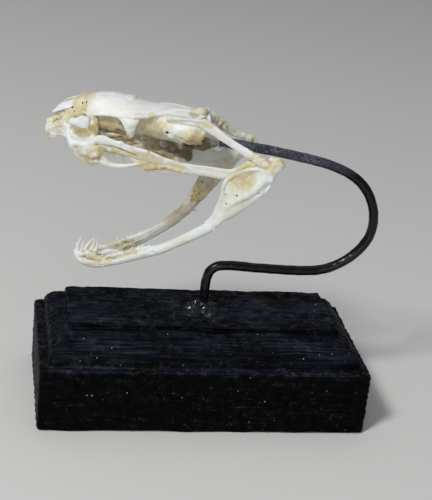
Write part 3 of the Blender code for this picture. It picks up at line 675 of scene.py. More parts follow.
def build_nose():
    """The inner nose bones and their dried, grainy cartilage."""
    clay = Clay((28, -3.9, -1.6), (35.9, 3.9, 8.6))
    clay.rod([(35, 0, 1.9, 1.2, 0.9), (34, 0, 2.4, 1.9, 1.5), (32.4, 0, 3.1, 2.3, 2.1),
        (31, 0, 3.8, 2.75, 2.6), (28.8, 0, 4.5, 3.3, 3.35)])
    for _ in clay.halves():
        clay.balls([((32.6, 2, 1.6), (1.6, 1, 1.7), 0.5), ((29.8, 2.6, 3.8), (1.6, 0.9, 1.5), 0.6),
            ((28.7, 3.1, 4.5), (0.5, 0.5, 0.45), 0.3)])
        # Pits in the dry cartilage.
        for at in ((30.2, 2.2, 5.4), (30.5, 2.5, 4.7), (29.9, 2.8, 3.9), (29, 3.1, 3.3), (31, 2.5, 3),
                (29.6, 2, 6.3), (29.2, 2.6, 5.1), (31.3, 2.2, 4), (28.8, 2.4, 6.6), (31.9, 1.8, 4.9),
                (30.6, 1.3, 6.5), (28.8, 2.9, 4.4)):
            clay.ball(at, (0.17, 0.55, 0.17), 0.06, carve=True)
    clay.roughen(0.62, 0.22, 31)
    clay.roughen(0.34, 0.15, 32)
    stains = [(TAN, (29.6, 0, 4.6), (1.8, 4.4, 1.5), 0.34)]
    make_bone("nose_core", MIDDLE, clay, stains, tone=(0.8, 0))


NASAL = {
    NEAR: ((36.4, 0.8, 3.1, 0.25, 0.14, -35), (35.6, 1.1, 3.8, 0.7, 0.18, -36),
        (34.3, 1.3, 4.7, 1.1, 0.22, -37), (32.7, 1.3, 5.4, 1.05, 0.2, -37),
        (31, 1.25, 6.25, 0.6, 0.15, -35)),
    FAR: ((34.4, 0.9, 4.9, 0.3, 0.14, -32), (33.4, 1.1, 5.5, 0.85, 0.2, -34),
        (31.9, 1.25, 6.15, 0.95, 0.22, -33), (30.6, 1.15, 6.7, 0.6, 0.2, -30),
        (29.9, 1, 7.05, 0.3, 0.15, -30))}


def build_nasal(side):
    """A thin flake on top of the snout."""
    clay = Clay((28, -0.6, 2.2), (37, 3.4, 8.6), FINE_VOXEL)
    clay.rod(NASAL[side], 0.2)
    clay.groove([(35.4, 1.5, 4), (33.6, 1.6, 5), (32, 1.5, 5.7)], 0.06, 0.12)
    clay.roughen(0.9, 0.09, 41 + side)
    clay.roughen(0.45, 0.05, 43 + side)
    stains = [(YELLOW, (30.6, 1.2, 6), (2, 2, 1.6), 0.35)]
    make_bone("nasal", side, clay, stains)


def build_prefrontal(side):
    """The plate in front of an eye socket."""
    clay = Clay((25.4, 2.2, -0.9), (33.6, 6, 5.2))
    clay.rod([(32.7, 4.1, 2.45, 0.3, 0.25, 88), (32, 4.35, 2.5, 0.55, 0.35, 88),
        (30.9, 4.55, 2.6, 0.95, 0.4, 88), (29.6, 4.7, 2.6, 1.3, 0.36, 88), (28.6, 4.7, 2.7, 1.5, 0.34, 86),
        (27.9, 4.6, 2.75, 1.5, 0.3, 84)])
    clay.rod([(27.5, 3.8, 4.2, 0.4, 1.1), (27.2, 3.75, 3, 0.35, 1.3), (27, 3.75, 1.8, 0.35, 1.4),
        (27, 4, 0.5, 0.35, 1.3)], 0.35, lean=0)
    clay.ball((29.3, 4.65, 3.95), (0.7, 0.35, 0.3), 0.3)
    clay.ball((31.3, 5, 3.6), (0.9, 0.4, 0.3), 0.3, carve=True)
    clay.groove([(31.6, 4.75, 2.6), (30, 5.05, 2.5), (28.6, 5.15, 2.2)], -0.1, 0.3)
    clay.roughen(0.9, 0.11, 51 + side)
    stains = [(TAN, (26.6, 3.7, 1.6), (1.7, 1.4, 2.6), 0.5),
        (YELLOW, (26.6, 3.7, 2.1), (1.9, 1.6, 3.2), 0.9), (YELLOW, (32.6, 3.9, 2.6), (1, 1.5, 1.2), 0.4),
        (WHITE, (29.8, 4.6, 3.2), (2.4, 1.4, 1.6), 0.8)]
    make_bone("prefrontal", side, clay, stains)


def build_postorbital(side):
    """The bar behind an eye socket."""
    clay = Clay((15.8, 3.6, -1.3), (22.4, 6.4, 6.3))
    clay.rod([(18.4, 3.7, 6, 0.35, 1.9), (18.45, 4.45, 5.1, 0.4, 1.9), (18.45, 4.85, 4.2, 0.4, 1.5),
        (18.4, 4.95, 3.2, 0.38, 1.1), (18.3, 4.9, 2.1, 0.34, 0.95), (18.3, 4.75, 1.2, 0.3, 0.8),
        (18.4, 4.65, 0.8, 0.28, 0.7), (18.55, 4.55, 0.5, 0.22, 0.55)], lean=0)
    clay.cord([(21.5, 4.5, 4.75), (20.75, 4.75, 4.25), (20.05, 4.9, 3.35), (19.45, 5, 2.3),
        (19.1, 4.85, 1.2), (19, 4.7, 0.8)], 0.22, 0.35)
    clay.cord([(20.7, 4.55, 4.7), (20.1, 4.75, 4.3), (19.6, 4.9, 3.5), (19.2, 4.9, 2.8)], 0.3, 0.35)
    clay.groove([(17.9, 5.3, 3.6), (17.9, 5.2, 1.9), (18.4, 4.9, 0.4)], 0.1, 0.35)
    clay.roughen(1.2, 0.07, 61 + side)
    stains = [(YELLOW, (17.7, 5.2, 1), (1.2, 1.5, 1.8), 0.4),
        (TAN, (17.2, 5.2, 1.6), (0.9, 1.5, 2.4), 0.25), (YELLOW, (16.6, 5.2, 4.6), (1.2, 1.5, 1), 0.3)]
    make_bone("postorbital", side, clay, stains)


def build_maxilla(side):
    """The short upper jaw bone with its deep pit."""
    clay = Clay((23.6, 3.6, -6.8), (33, 8.4, 3.3))
    clay.rod([(29.9, 4, 2.4, 0.35, 2.3), (29.4, 4.2, 1.5, 0.4, 3.1), (29, 4.5, 0.5, 0.5, 3.5),
        (28.9, 5.3, -0.6, 0.9, 3.2), (28.95, 5.9, -1.6, 1.3, 3), (28.25, 6.2, -2.9, 1.3, 2.6),
        (27.6, 6.3, -4, 1.15, 2.2), (26.8, 6.3, -4.9, 0.9, 1.7), (26.1, 6.3, -5.5, 0.55, 1.2)], lean=0)
    # The heat pit, the hollow below it and the ledge between them.
    clay.ball((28.9, 7.4, 1.2), (3.7, 2.6, 2.5), 0.9, dip=6, carve=True)
    clay.ball((30.4, 7.7, -3), (1.9, 0.9, 1.2), 0.8, dip=48, carve=True)
    clay.rod([(32.2, 5.4, -0.4, 0.35, 0.35), (31.2, 6.2, -1.3, 0.5, 0.45), (29.3, 6.7, -1.75, 0.7, 0.5),
        (28, 6.8, -1.65, 0.75, 0.5), (26.7, 6.6, -1.3, 0.6, 0.45), (25.7, 6.3, -0.7, 0.5, 0.4)], 0.8)
    clay.cord([(32.2, 3.6, 1.9), (32.4, 4.2, 0.9), (32.3, 4.9, -0.2)], 0.25, 0.6)
    # Knobs round the root of the fang and the joint with the push rod.
    clay.balls([((28.2, 7, -3), (1.3, 0.6, 0.8), 0.8), ((26.4, 7, -3.9), (0.85, 0.72, 0.8), 0.35),
        ((25.5, 6.95, -3.6), (0.75, 0.85, 0.7), 0.3), ((25.7, 6.8, -2.4), (0.8, 0.55, 0.6), 0.6),
        ((24.7, 6.3, -3.2), (1.1, 0.6, 1.5), 0.8), ((26.4, 6.5, -5.1), (0.8, 0.7, 0.6), 0.5),
        ((25.3, 6.3, -5.2), (1, 0.75, 0.65), 0.5)])
    clay.ball((25.2, 7.2, -3.3), (0.25, 0.25, 0.25), 0.1, carve=True)
    clay.groove([(27.5, 7.35, -2.5), (27.35, 7.2, -3.6), (26.9, 7.1, -4.7), (26, 7, -5.1)], 0.17, 0.3)
    clay.groove([(30, 6.7, -2.3), (28.9, 6.9, -3.5), (28, 6.9, -4.3)], 0.12, 0.35)
    clay.roughen(1.3, 0.1, 71 + side)
    clay.roughen(0.5, 0.05, 72 + side)
    stains = [(TAN, (28.8, 4.9, 0.7), (3.8, 1.3, 1.9), 0.42),
        (YELLOW, (28.4, 4.9, 0.8), (4.4, 1.5, 2.2), 0.95), (DIRT_AND_SHADE, (28.8, 4.8, 0.4), (3.8, 1.4, 2.2), 0.32),
        (YELLOW, (26, 4.4, 1), (2, 1.5, 2.6), 0.9), (TAN, (25.9, 4.4, 0.9), (1.8, 1.5, 2.3), 0.5),
        (WHITE, (29, 6.9, -1.7), (3.6, 0.9, 0.9), 0.8), (YELLOW, (25.4, 6.9, -2.4), (1.5, 1.6, 1.3), 0.85),
        (TAN, (24.4, 6.5, -3.4), (1.3, 1.6, 2.2), 0.4), (YELLOW, (24.8, 6.5, -4.2), (1.6, 1.6, 2.2), 0.5),
        (YELLOW, (28.2, 6.8, -3.9), (3.8, 1.6, 2.4), 0.5), (TAN, (26.9, 7, -4.3), (1.2, 1.4, 1.2), 0.3),
        (TAN, (29.6, 6.8, -3.2), (3.4, 1.8, 2), 0.24), (DIRT_AND_SHADE, (28.6, 6.8, -3.4), (3.4, 1.6, 2.2), 0.12),
        (YELLOW, (26.4, 6.6, -5.4), (2.6, 1.6, 0.9), 0.3)]
    make_bone("maxilla", side, clay, stains, tone=(0.06, 0))


def build_fang(side):
    """A folded fang with its root."""
    clay = Clay((13.4, 5.3, -7.3), (26, 7.4, -2.9), FINE_VOXEL)
    clay.rod([(25.2, 6.3, -5.1, 0.7, 0.6), (24.2, 6.3, -5.35, 0.75, 0.65), (22.4, 6.3, -5.9, 0.62, 0.58),
        (20.4, 6.3, -6.05, 0.56, 0.5), (18, 6.3, -5.6, 0.44, 0.38), (16, 6.3, -4.9, 0.28, 0.25),
        (13.9, 6.2, -3.7, 0.07, 0.07)], 0.2)
    clay.rod([(25, 6.4, -3.6, 0.9, 0.5), (24.2, 6.3, -4.4, 0.7, 0.45),
        (23.2, 6.2, -5, 0.4, 0.35)], 0.4, lean=80)
    clay.groove([(24.4, 6.95, -4.9), (22.4, 6.9, -5.5), (20.4, 6.8, -5.7), (18, 6.68, -5.4)], 0.07, 0.14)
    stains = [(YELLOW, (24.6, 6.3, -4.3), (1.8, 1.6, 1.2), 0.5),
        (TAN, (24.6, 6.3, -3.8), (1.2, 1.6, 1.2), 0.3)]
    make_bone("fang", side, clay, stains, tone=(0.25, 0), enamel=0.2)


def build_ectopterygoid(side):
    """The push rod behind a maxilla."""
    clay = Clay((2.4, 4.9, -6.5), (26.6, 8, 1.7))
    clay.rod([(26.2, 6.2, -0.7, 0.5, 0.35, 84), (25.4, 6.4, -0.3, 1, 0.38, 84),
        (24.2, 6.5, -0.2, 1.1, 0.38, 86), (22.2, 6.5, -0.55, 0.75, 0.38, 88),
        (20.3, 6.5, -1.05, 0.8, 0.38, 90), (18.2, 6.4, -1.9, 1.1, 0.36, 90),
        (16, 6.2, -2.75, 1.45, 0.34, 90), (13.2, 6.1, -3.35, 1.4, 0.34, 88),
        (10.6, 6.1, -3.9, 1.05, 0.34, 84), (8.2, 6, -4.3, 0.85, 0.3, 76), (6, 6, -4.7, 0.7, 0.25, 68),
        (4.2, 6, -5.1, 0.35, 0.2, 62)])
    # The blade below the rod's front.
    clay.rod([(24.9, 5.9, -1.8, 1, 0.35, 80), (23.4, 5.85, -1.9, 1.25, 0.35, 84),
        (21.6, 5.9, -2.1, 1.15, 0.35, 88), (19.8, 6, -2.6, 0.8, 0.35, 90), (18, 6.05, -3.1, 0.75, 0.36, 90),
        (16, 6.1, -3.5, 0.75, 0.35, 90)], 0.25)
    clay.ball((20.2, 6.55, -0.35), (0.5, 0.4, 0.38), 0.4)
    clay.rod([(20.8, 6.2, -1.7, 0.2, 1.2), (19.2, 6.2, -2.2, 0.22, 1.2),
        (17.4, 6.2, -2.8, 0.1, 1.2)], 0.05, carve=True)
    clay.groove([(22, 6.9, -0.15), (20, 6.8, -0.55), (16.2, 6.5, -1.6), (13.2, 6.4, -2.3),
        (10.6, 6.4, -3.1), (7.6, 6.5, -3.7)], -0.14, 0.2)
    clay.groove([(17.6, 6.8, -2.4), (14, 6.5, -3.2), (9.6, 6.5, -4.1)], 0.07, 0.3)
    clay.roughen(1.6, 0.08, 81 + side)
    # The yellow and tan over the face of the rod are partly stain and partly painted shade.
    stains = [(YELLOW, (20.2, 6.5, -0.3), (0.9, 1, 0.8), 0.7),
        (TAN, (22.8, 5.9, -2.4), (2.6, 1.1, 1.2), 0.36), (YELLOW, (22.4, 5.9, -2.3), (3.4, 1.2, 1.4), 0.75),
        (TAN, (15.4, 6.3, -3.4), (7.4, 1.6, 1.8), 0.24), (YELLOW, (14.4, 6.2, -3.4), (9, 2, 2.6), 0.6),
        (YELLOW, (8, 6.3, -4.8), (3, 1.4, 0.9), 0.4), (TAN, (14, 5.4, -3), (9, 0.7, 3), 0.5)]
    # Painted highlight: the stains are cleared in a white line along the rod's top edge.
    for u in np.linspace(19.6, 8.8, 14):
        w = float(np.interp(u, (8.2, 13.2, 20.3), (-3.4, -1.9, -0.3)))
        stains.append((WHITE, (u, 6.3, w), (1.4, 1.2, 0.7), 1))
    make_bone("ectopterygoid", side, clay, stains)


def build_palatine(side):
    """The small toothed bone of the palate."""
    clay = Clay((15.2, 2.2, -5.6), (27.6, 5.4, 1.2))
    clay.rod([(25, 3.6, -2.5, 0.6, 0.3, 90), (23.6, 3.7, -3.1, 0.85, 0.4, 88),
        (21.4, 3.8, -3.5, 0.85, 0.42, 86), (19.4, 3.9, -3.9, 0.8, 0.42, 84),
        (17.6, 4.1, -4.3, 0.5, 0.35, 84)])
    # The thin upper blade, with its openings.
    clay.rod([(26.9, 3.6, -0.3, 0.6, 0.25, 90), (24.8, 3.5, -0.9, 1.4, 0.28, 86),
        (22, 3.4, -1.3, 1.8, 0.28, 84), (19, 3.4, -1.6, 1.8, 0.28, 84), (16.6, 3.6, -2, 1.3, 0.25, 84),
        (15.6, 3.7, -2.2, 0.5, 0.2, 84)], 0.4)
    for at in ((24.4, 4, 0), (22.6, 4, -0.6), (20.9, 3.9, -0.3), (18.6, 3.9, -1), (17.2, 4, -1.6)):
        clay.ball(at, (1.1, 0.45, 0.28), 0.15, dip=16, carve=True)
    clay.groove([(24.6, 3.9, -2.3), (21.6, 4, -2.9), (18.6, 4.2, -3.6)], 0.16, 0.2)
    clay.roughen(0.7, 0.14, 91 + side)
    teeth = [((23.7, 3.8, -3.7), (23, 3.8, -5.3), 0.26, (0.12, 0, -0.05)),
        ((23, 3.8, -3.8), (22.4, 3.8, -5.5), 0.28, (0.12, 0, -0.05)),
        ((22.2, 3.85, -4), (21.5, 3.8, -5.6), 0.27, (0.15, 0, 0)),
        ((20, 3.9, -4.3), (18.9, 3.85, -6.4), 0.36, (0.24, 0, -0.05))]
    stains = [(TAN, (21, 3.6, -1.4), (6.6, 1.8, 2.2), 0.6), (DIRT_AND_SHADE, (20.4, 3.4, -0.8), (4.6, 1.2, 1), 0.45)]
    make_bone("palatine", side, clay, stains, tone=(0.5, 0.1), teeth=teeth)


PTERYGOID_REAR = {
    NEAR: ((4.9, 5.7, -5.2, 1.25, 0.4, 84), (1.5, 6.2, -5.1, 1.3, 0.36, 86),
        (-2, 6.7, -5.1, 1.3, 0.36, 86), (-4.4, 7.1, -4.9, 1.35, 0.36, 84), (-6.2, 7.7, -4, 1.25, 0.4, 80),
        (-7.8, 8.2, -2.5, 1.4, 0.42, 80), (-9.2, 8.7, -1.2, 1.15, 0.45, 84),
        (-10.3, 9.1, -0.5, 0.6, 0.35, 88)),
    FAR: ((4.9, 5.2, -6.4, 2.3, 0.36, 68), (1.5, 5.7, -6.5, 2.35, 0.3, 58), (-2, 6.3, -6.3, 2.2, 0.28, 54),
        (-4.3, 6.9, -5.8, 1.6, 0.25, 52), (-6, 7.5, -5.2, 0.35, 0.2, 52))}


def build_pterygoid(side):
    """The long toothed bone of the palate, with a thin wing behind."""
    clay = Clay((-10.9, 2.4, -8.6), (18.6, 10, 0.3))
    clay.rod([(17.9, 3.9, -3.9, 0.4, 0.3, 90), (15.6, 4.3, -4.6, 1.25, 0.4, 88),
        (12.6, 4.7, -4.9, 1.45, 0.42, 85), (9, 4.9, -5.05, 1.3, 0.42, 80), *PTERYGOID_REAR[side]])
    # The bar that bears the teeth.
    clay.rod([(18, 5.9, -3.6, 0.5, 0.35), (16.6, 5.95, -4.4, 0.85, 0.5), (15.6, 6, -4.9, 1, 0.55),
        (14.6, 6, -5.3, 1.1, 0.6), (12.9, 6, -5.4, 0.95, 0.6), (11.5, 6, -5.2, 0.75, 0.55),
        (8.6, 6, -5.3, 0.65, 0.45), (5.6, 6, -5.9, 0.5, 0.4)])
    clay.groove([(6.6, 5.8, -4.2), (1.5, 6.6, -4), (-3.5, 7.2, -3.9)], -0.16, 0.25)
    clay.groove([(7, 6, -4.9), (2, 6.6, -4.9), (-3.5, 7.3, -4.8)], 0.14, 0.3)
    if side == FAR:
        clay.groove([(-5.7, 7, -5.2), (-4.4, 6.2, -6.1), (-2.8, 5.5, -6.9), (-0.6, 5, -7.3)], -0.16, 0.2)
        clay.cord([(12.6, 4.2, -4.3), (10.6, 4.2, -4.7), (8.2, 4.3, -5.5)], 0.4, 0.25, carve=True)
        clay.ball((6.9, 4.6, -5.2), (2.2, 0.7, 2.9), 0.5)
        clay.roughen(0.6, 0.34, 105, (6.8, 4.8, -5.2), (3.4, 2, 3.6))
    else:
        clay.rod([(14, 4.3, -2.9, 0.6, 0.2), (12, 4.4, -3.1, 1, 0.25), (9.6, 4.6, -3.5, 1, 0.25),
            (7.2, 4.9, -4.1, 0.7, 0.25)])
        clay.roughen(0.6, 0.2, 106, (-7.8, 8.4, -2.6), (3.6, 2.4, 2.8))
    clay.roughen(0.55, 0.3, 101 + side, (12.4, 5.8, -5.5), (6.4, 2.2, 2.4))
    clay.roughen(1.9, 0.08, 103 + side)
    teeth = [((14.4, 5.7, -6), (13.8, 5.7, -7), 0.18, (0.1, 0, 0)),
        ((12.9, 5.7, -6), (12.1, 5.7, -7.7), 0.27, (0.2, 0, -0.1)),
        ((11.6, 5.7, -5.7), (9.3, 5.7, -6.6), 0.26, (0.1, 0, -0.3)),
        ((9.6, 5.7, -5.7), (8.8, 5.7, -6.3), 0.16, (0, 0, -0.1)),
        ((8.6, 5.7, -5.7), (7.8, 5.7, -6.3), 0.14, (0, 0, 0))]
    stains = [(YELLOW, (12.6, 5.8, -5.3), (7, 2.4, 2.4), 1), (TAN, (13.2, 5.9, -5.4), (4.4, 2, 1.8), 0.32)]
    if side == FAR:
        # Dark brown over the front of the wing, below the braincase.
        stains += [(TAN, (13, 4.5, -4.2), (5, 1.6, 1.6), 0.55),
            (DIRT_AND_SHADE, (10.4, 4.3, -4.8), (2.4, 0.8, 1.2), 0.5), (DIRT_AND_SHADE, (8.2, 4.9, -4.6), (2.4, 2, 3), 0.7),
            (YELLOW, (-2.8, 5.6, -7.2), (2.6, 1, 0.9), 0.5)]
    else:
        stains += [(YELLOW, (-8.2, 8.4, -2.4), (3, 2.4, 2.4), 0.75),
            (YELLOW, (7.4, 5.6, -5.2), (2.4, 1.6, 1.6), 0.4), (TAN, (10.6, 4.5, -3.2), (6, 1.5, 2.6), 0.85),
            (DIRT_AND_SHADE, (10.4, 4.4, -3.2), (5, 1.3, 2), 0.35)]
    make_bone("pterygoid", side, clay, stains, tone=(0.14, 0.03), teeth=teeth)


SUPRATEMPORAL = {
    NEAR: ((10.6, 4.1, 5.1, 0.5, 0.25, 60), (8.8, 4.45, 5.3, 1.05, 0.32, 60),
        (6.2, 4.75, 5.4, 1.25, 0.36, 60), (4.2, 5.05, 5.5, 1.25, 0.4, 62), (2.6, 5.45, 5.6, 1.05, 0.42, 66),
        (1.6, 5.7, 5.6, 0.6, 0.4, 66)),
    FAR: ((9.6, 4.6, 4, 0.35, 0.25, 65), (7.8, 4.9, 4.1, 0.9, 0.45, 65), (5.4, 5.2, 4.2, 1, 0.55, 65),
        (3.6, 5.5, 4.3, 1.05, 0.7, 65), (2.2, 5.7, 4.3, 0.9, 0.6, 65))}
QUADRATE = {
    NEAR: ((2.75, 6.6, 6.1, 1.25, 0.34, 80), (2.2, 6.65, 6, 1.35, 0.42, 82),
        (0.6, 6.9, 5.1, 1.25, 0.42, 86), (-2, 7.6, 3.8, 1.02, 0.42, 90), (-4.6, 8.3, 2.6, 0.94, 0.42, 90),
        (-8, 9.2, 1.15, 0.95, 0.48, 90), (-10.4, 9.7, 0, 1, 0.5, 90), (-12, 10, -0.9, 0.9, 0.5, 90),
        (-12.8, 10.1, -1.4, 0.55, 0.4, 90)),
    FAR: ((2.6, 6.3, 4.3, 0.95, 0.5), (1.2, 6.8, 3.2, 1.2, 0.5), (-0.4, 7.1, 2, 1.25, 0.45),
        (-2.2, 7.7, 0.6, 1.2, 0.45), (-4.2, 8.4, -0.75, 0.95, 0.5), (-6.2, 9.1, -1.65, 0.85, 0.6),
        (-7.4, 9.4, -2.1, 0.8, 0.7))}


def build_hinge_bones(side):
    """The plate on the braincase and the long bar that hangs from it."""
    near = side == NEAR
    clay = Clay((0.2, 3.8, 2.8), (11.6, 7.4, 7.8))
    clay.rod(SUPRATEMPORAL[side])
    clay.roughen(1.5, 0.26, 111 + side)
    clay.roughen(0.5, 0.1, 113 + side)
    clay.groove([(9, 4.75, 5.2), (6, 5.1, 5.6), (3, 5.7, 5.7)], 0.12, 0.2)
    stains = [(YELLOW, (2.4, 5.6, 5.4), (2.2, 2, 2), 0.4), (YELLOW, (9, 4.6, 5.2), (3.4, 2, 2), 0.35)]
    make_bone("supratemporal", side, clay, stains, tone=(0.1, 0.02))
    clay = Clay((-14.2, 5, -4.2), (4.6, 11.6, 8.2)) if near else Clay((-9.8, 5, -4.2), (4.4, 11.2, 6.4))
    clay.rod(QUADRATE[side])
    if near:
        clay.ball((-12.1, 10.2, -0.4), (0.7, 0.5, 0.6), 0.5)
        clay.groove([(2.4, 7.1, 6.9), (0.2, 7.4, 5.7), (-2, 7.95, 4.5), (-6, 8.9, 2.6),
            (-9.6, 9.7, 1)], -0.16, 0.25)
        clay.groove([(-0.6, 7.6, 4), (-4, 8.5, 2.2), (-8, 9.7, 0.8)], 0.08, 0.3)
        for at, size in (((-7.2, 9, 2.1), 0.5), ((-8.6, 9.3, 1.6), 0.35), ((-10.2, 9.6, 1.1), 0.5),
                ((-11.4, 9.8, 0.6), 0.45)):
            clay.ball(at, (size, 0.4, 0.35), 0.25)
        clay.roughen(0.5, 0.16, 122, (-10.6, 9.8, 0), (3.4, 2, 2.4))
    else:
        clay.balls([((0.5, 6.8, 3.2), (0.9, 0.45, 0.35)), ((-1.3, 7.2, 2), (0.6, 0.45, 0.4)),
            ((-2.2, 7.5, 1.1), (0.4, 0.4, 0.3)), ((2, 6.5, 4.7), (0.8, 0.5, 0.4))], blend=0.3, dip=-40)
        clay.balls([((-6.5, 9.1, -1.5), (0.8, 0.7, 0.7), 0.3), ((-8.1, 9.5, -2.2), (0.95, 0.8, 0.9), 0.25)])
        clay.groove([(2, 6, 3.4), (0, 6.5, 2), (-2.4, 7.2, 0.3), (-4.6, 8, -0.9)], 0.2, 0.35)
        clay.groove([(-7.1, 8.6, -1.4), (-7.3, 8.7, -2.6)], 0.15, 0.2)
        clay.balls([((0.9, 5.9, 2.5), (1, 0.7, 0.6)), ((-0.5, 6.4, 1.6), (1, 0.6, 0.6)),
            ((-2.2, 7, 0.3), (0.9, 0.6, 0.45))], blend=0.5, dip=-40)
        clay.roughen(0.8, 0.16, 121)
    clay.roughen(1.3, 0.06, 123 + side)
    clay.roughen(0.5, 0.03, 125 + side)
    stains = [(YELLOW, (1.6, 6.8, 6.3), (2.6, 1.8, 1.4), 0.5), (YELLOW, (-12, 10, -0.6), (2.4, 2, 2), 0.55),
        (YELLOW, (-9.6, 9.6, 0.8), (2.8, 1.6, 1.2), 0.5)]
    if not near:
        stains += [(TAN, (-1, 6.8, 1.4), (3.6, 0.9, 2.6), 0.3),
            (YELLOW, (-2, 7.4, 1.2), (5.4, 1.8, 4.4), 0.45),
            (YELLOW, (-7.4, 9.2, -2), (1.8, 1.4, 1.6), 0.45)]
    make_bone("quadrate", side, clay, stains, tone=(0.1, 0))


def build_near_compound():
    """The rear half of the left lower jaw, with its muscle pit."""
    clay = Clay((-16.9, 5.9, -19.6), (1.2, 11.6, 2.7))
    clay.rod([(-15.6, 10.3, -0.3, 0.5, 0.5), (-15, 10.4, -0.1, 1.2, 0.9), (-14.2, 10.4, -0.4, 1.6, 0.95),
        (-13.4, 10.1, -2, 1.2, 0.85), (-11.8, 9.8, -3.3, 2.1, 0.7), (-9.6, 9.45, -5.1, 3.3, 0.62),
        (-7.3, 9, -7.8, 3.7, 0.6), (-5.1, 8.6, -11.1, 2.7, 0.62), (-3.4, 8.1, -14.3, 1.65, 0.7),
        (-1.9, 7.5, -17, 1.15, 0.75), (-0.5, 7.1, -18.3, 0.5, 0.5)])
    # The joint's lips, and the muscle pit with its rim.
    clay.balls([((-13, 10.5, 0.9), (0.65, 0.6, 0.8), 0.35), ((-14.3, 10.6, 1), (0.95, 0.6, 0.7), 0.35),
        ((-13.4, 10.3, -3.6), (0.7, 0.6, 1.1), 0.4)])
    clay.ball((-7.5, 10.75, -5.4), (5.2, 1.7, 2.7), 0.5, dip=45, carve=True)
    clay.rod([(-13.2, 10.15, -1.4, 0.5, 0.4), (-12.5, 10.25, -2.8, 0.55, 0.45),
        (-11.8, 10.2, -4.4, 0.6, 0.48), (-10.9, 10.1, -5.9, 0.65, 0.48), (-9.6, 9.9, -7.4, 0.65, 0.48),
        (-8, 9.65, -8.9, 0.6, 0.45), (-5.9, 9.3, -10.4, 0.5, 0.4), (-4.4, 8.9, -12.2, 0.4, 0.3)], 0.7)
    clay.cord([(-13.9, 9.95, -3.4), (-13.6, 9.8, -5), (-12.7, 9.65, -6.9), (-11, 9.35, -8.5),
        (-9.2, 9, -10.6), (-7.2, 8.7, -12.9), (-5, 8.2, -15.2)], 0.32, 0.7)
    clay.cord([(-10.2, 9.55, -1.9), (-7.3, 9.2, -2.9), (-4.6, 8.9, -4.7), (-3.6, 8.8, -5.8),
        (-3.2, 8.7, -7.4), (-3.1, 8.6, -9.2), (-2.8, 8.4, -11), (-2.2, 8.1, -13), (-1.5, 7.7, -15.2),
        (-0.3, 7.2, -16.8)], 0.32, 0.8)
    # Nerve holes.
    for at in ((-4.9, 9.2, -5.7), (-3.9, 9, -9.2), (-6.4, 9.3, -8.9), (-4.2, 8.8, -11.3),
            (-4.8, 8.9, -11.2), (-5.9, 9.4, -6.6), (-7.2, 9.5, -5.6), (-3.5, 8.9, -8)):
        clay.ball(at, (0.17, 0.6, 0.15), 0.08, carve=True)
    clay.ball((-11.2, 10.1, -7.6), (0.4, 0.5, 0.22), 0.1, carve=True)
    # Splinters at the front end.
    clay.rod([(-0.3, 7.5, -17.2, 0.2, 0.18), (0.4, 7.4, -16.5, 0.08, 0.08)], 0.15)
    clay.rod([(-2.4, 8, -18, 0.3, 0.22), (-2, 7.9, -18.9, 0.12, 0.12)], 0.2)
    clay.roughen(0.5, 0.1, 131, (-8, 9.4, -5.4), (5, 2.4, 5))
    clay.roughen(1.8, 0.09, 132)
    clay.roughen(0.6, 0.04, 133)
    stains = [(YELLOW, (-13.9, 10.4, 0.2), (2.8, 2, 2.6), 0.75),
        (YELLOW, (-7.4, 9.4, -4.9), (4.2, 1.2, 3.9), 0.6), (TAN, (-7.6, 9.4, -4.6), (3, 1.2, 2.4), 0.16),
        (YELLOW, (-12.6, 9.9, -1.6), (1.8, 2, 1.6), 0.5), (YELLOW, (-6, 9, -9.4), (7, 2, 8), 0.22),
        (TAN, (-8.6, 9, -11.4), (3.6, 1.6, 3.6), 0.14), (YELLOW, (-1.8, 7.6, -18), (1.8, 1.6, 1.2), 0.5)]
    make_bone("jaw_compound", NEAR, clay, stains, tone=(0.03, 0))


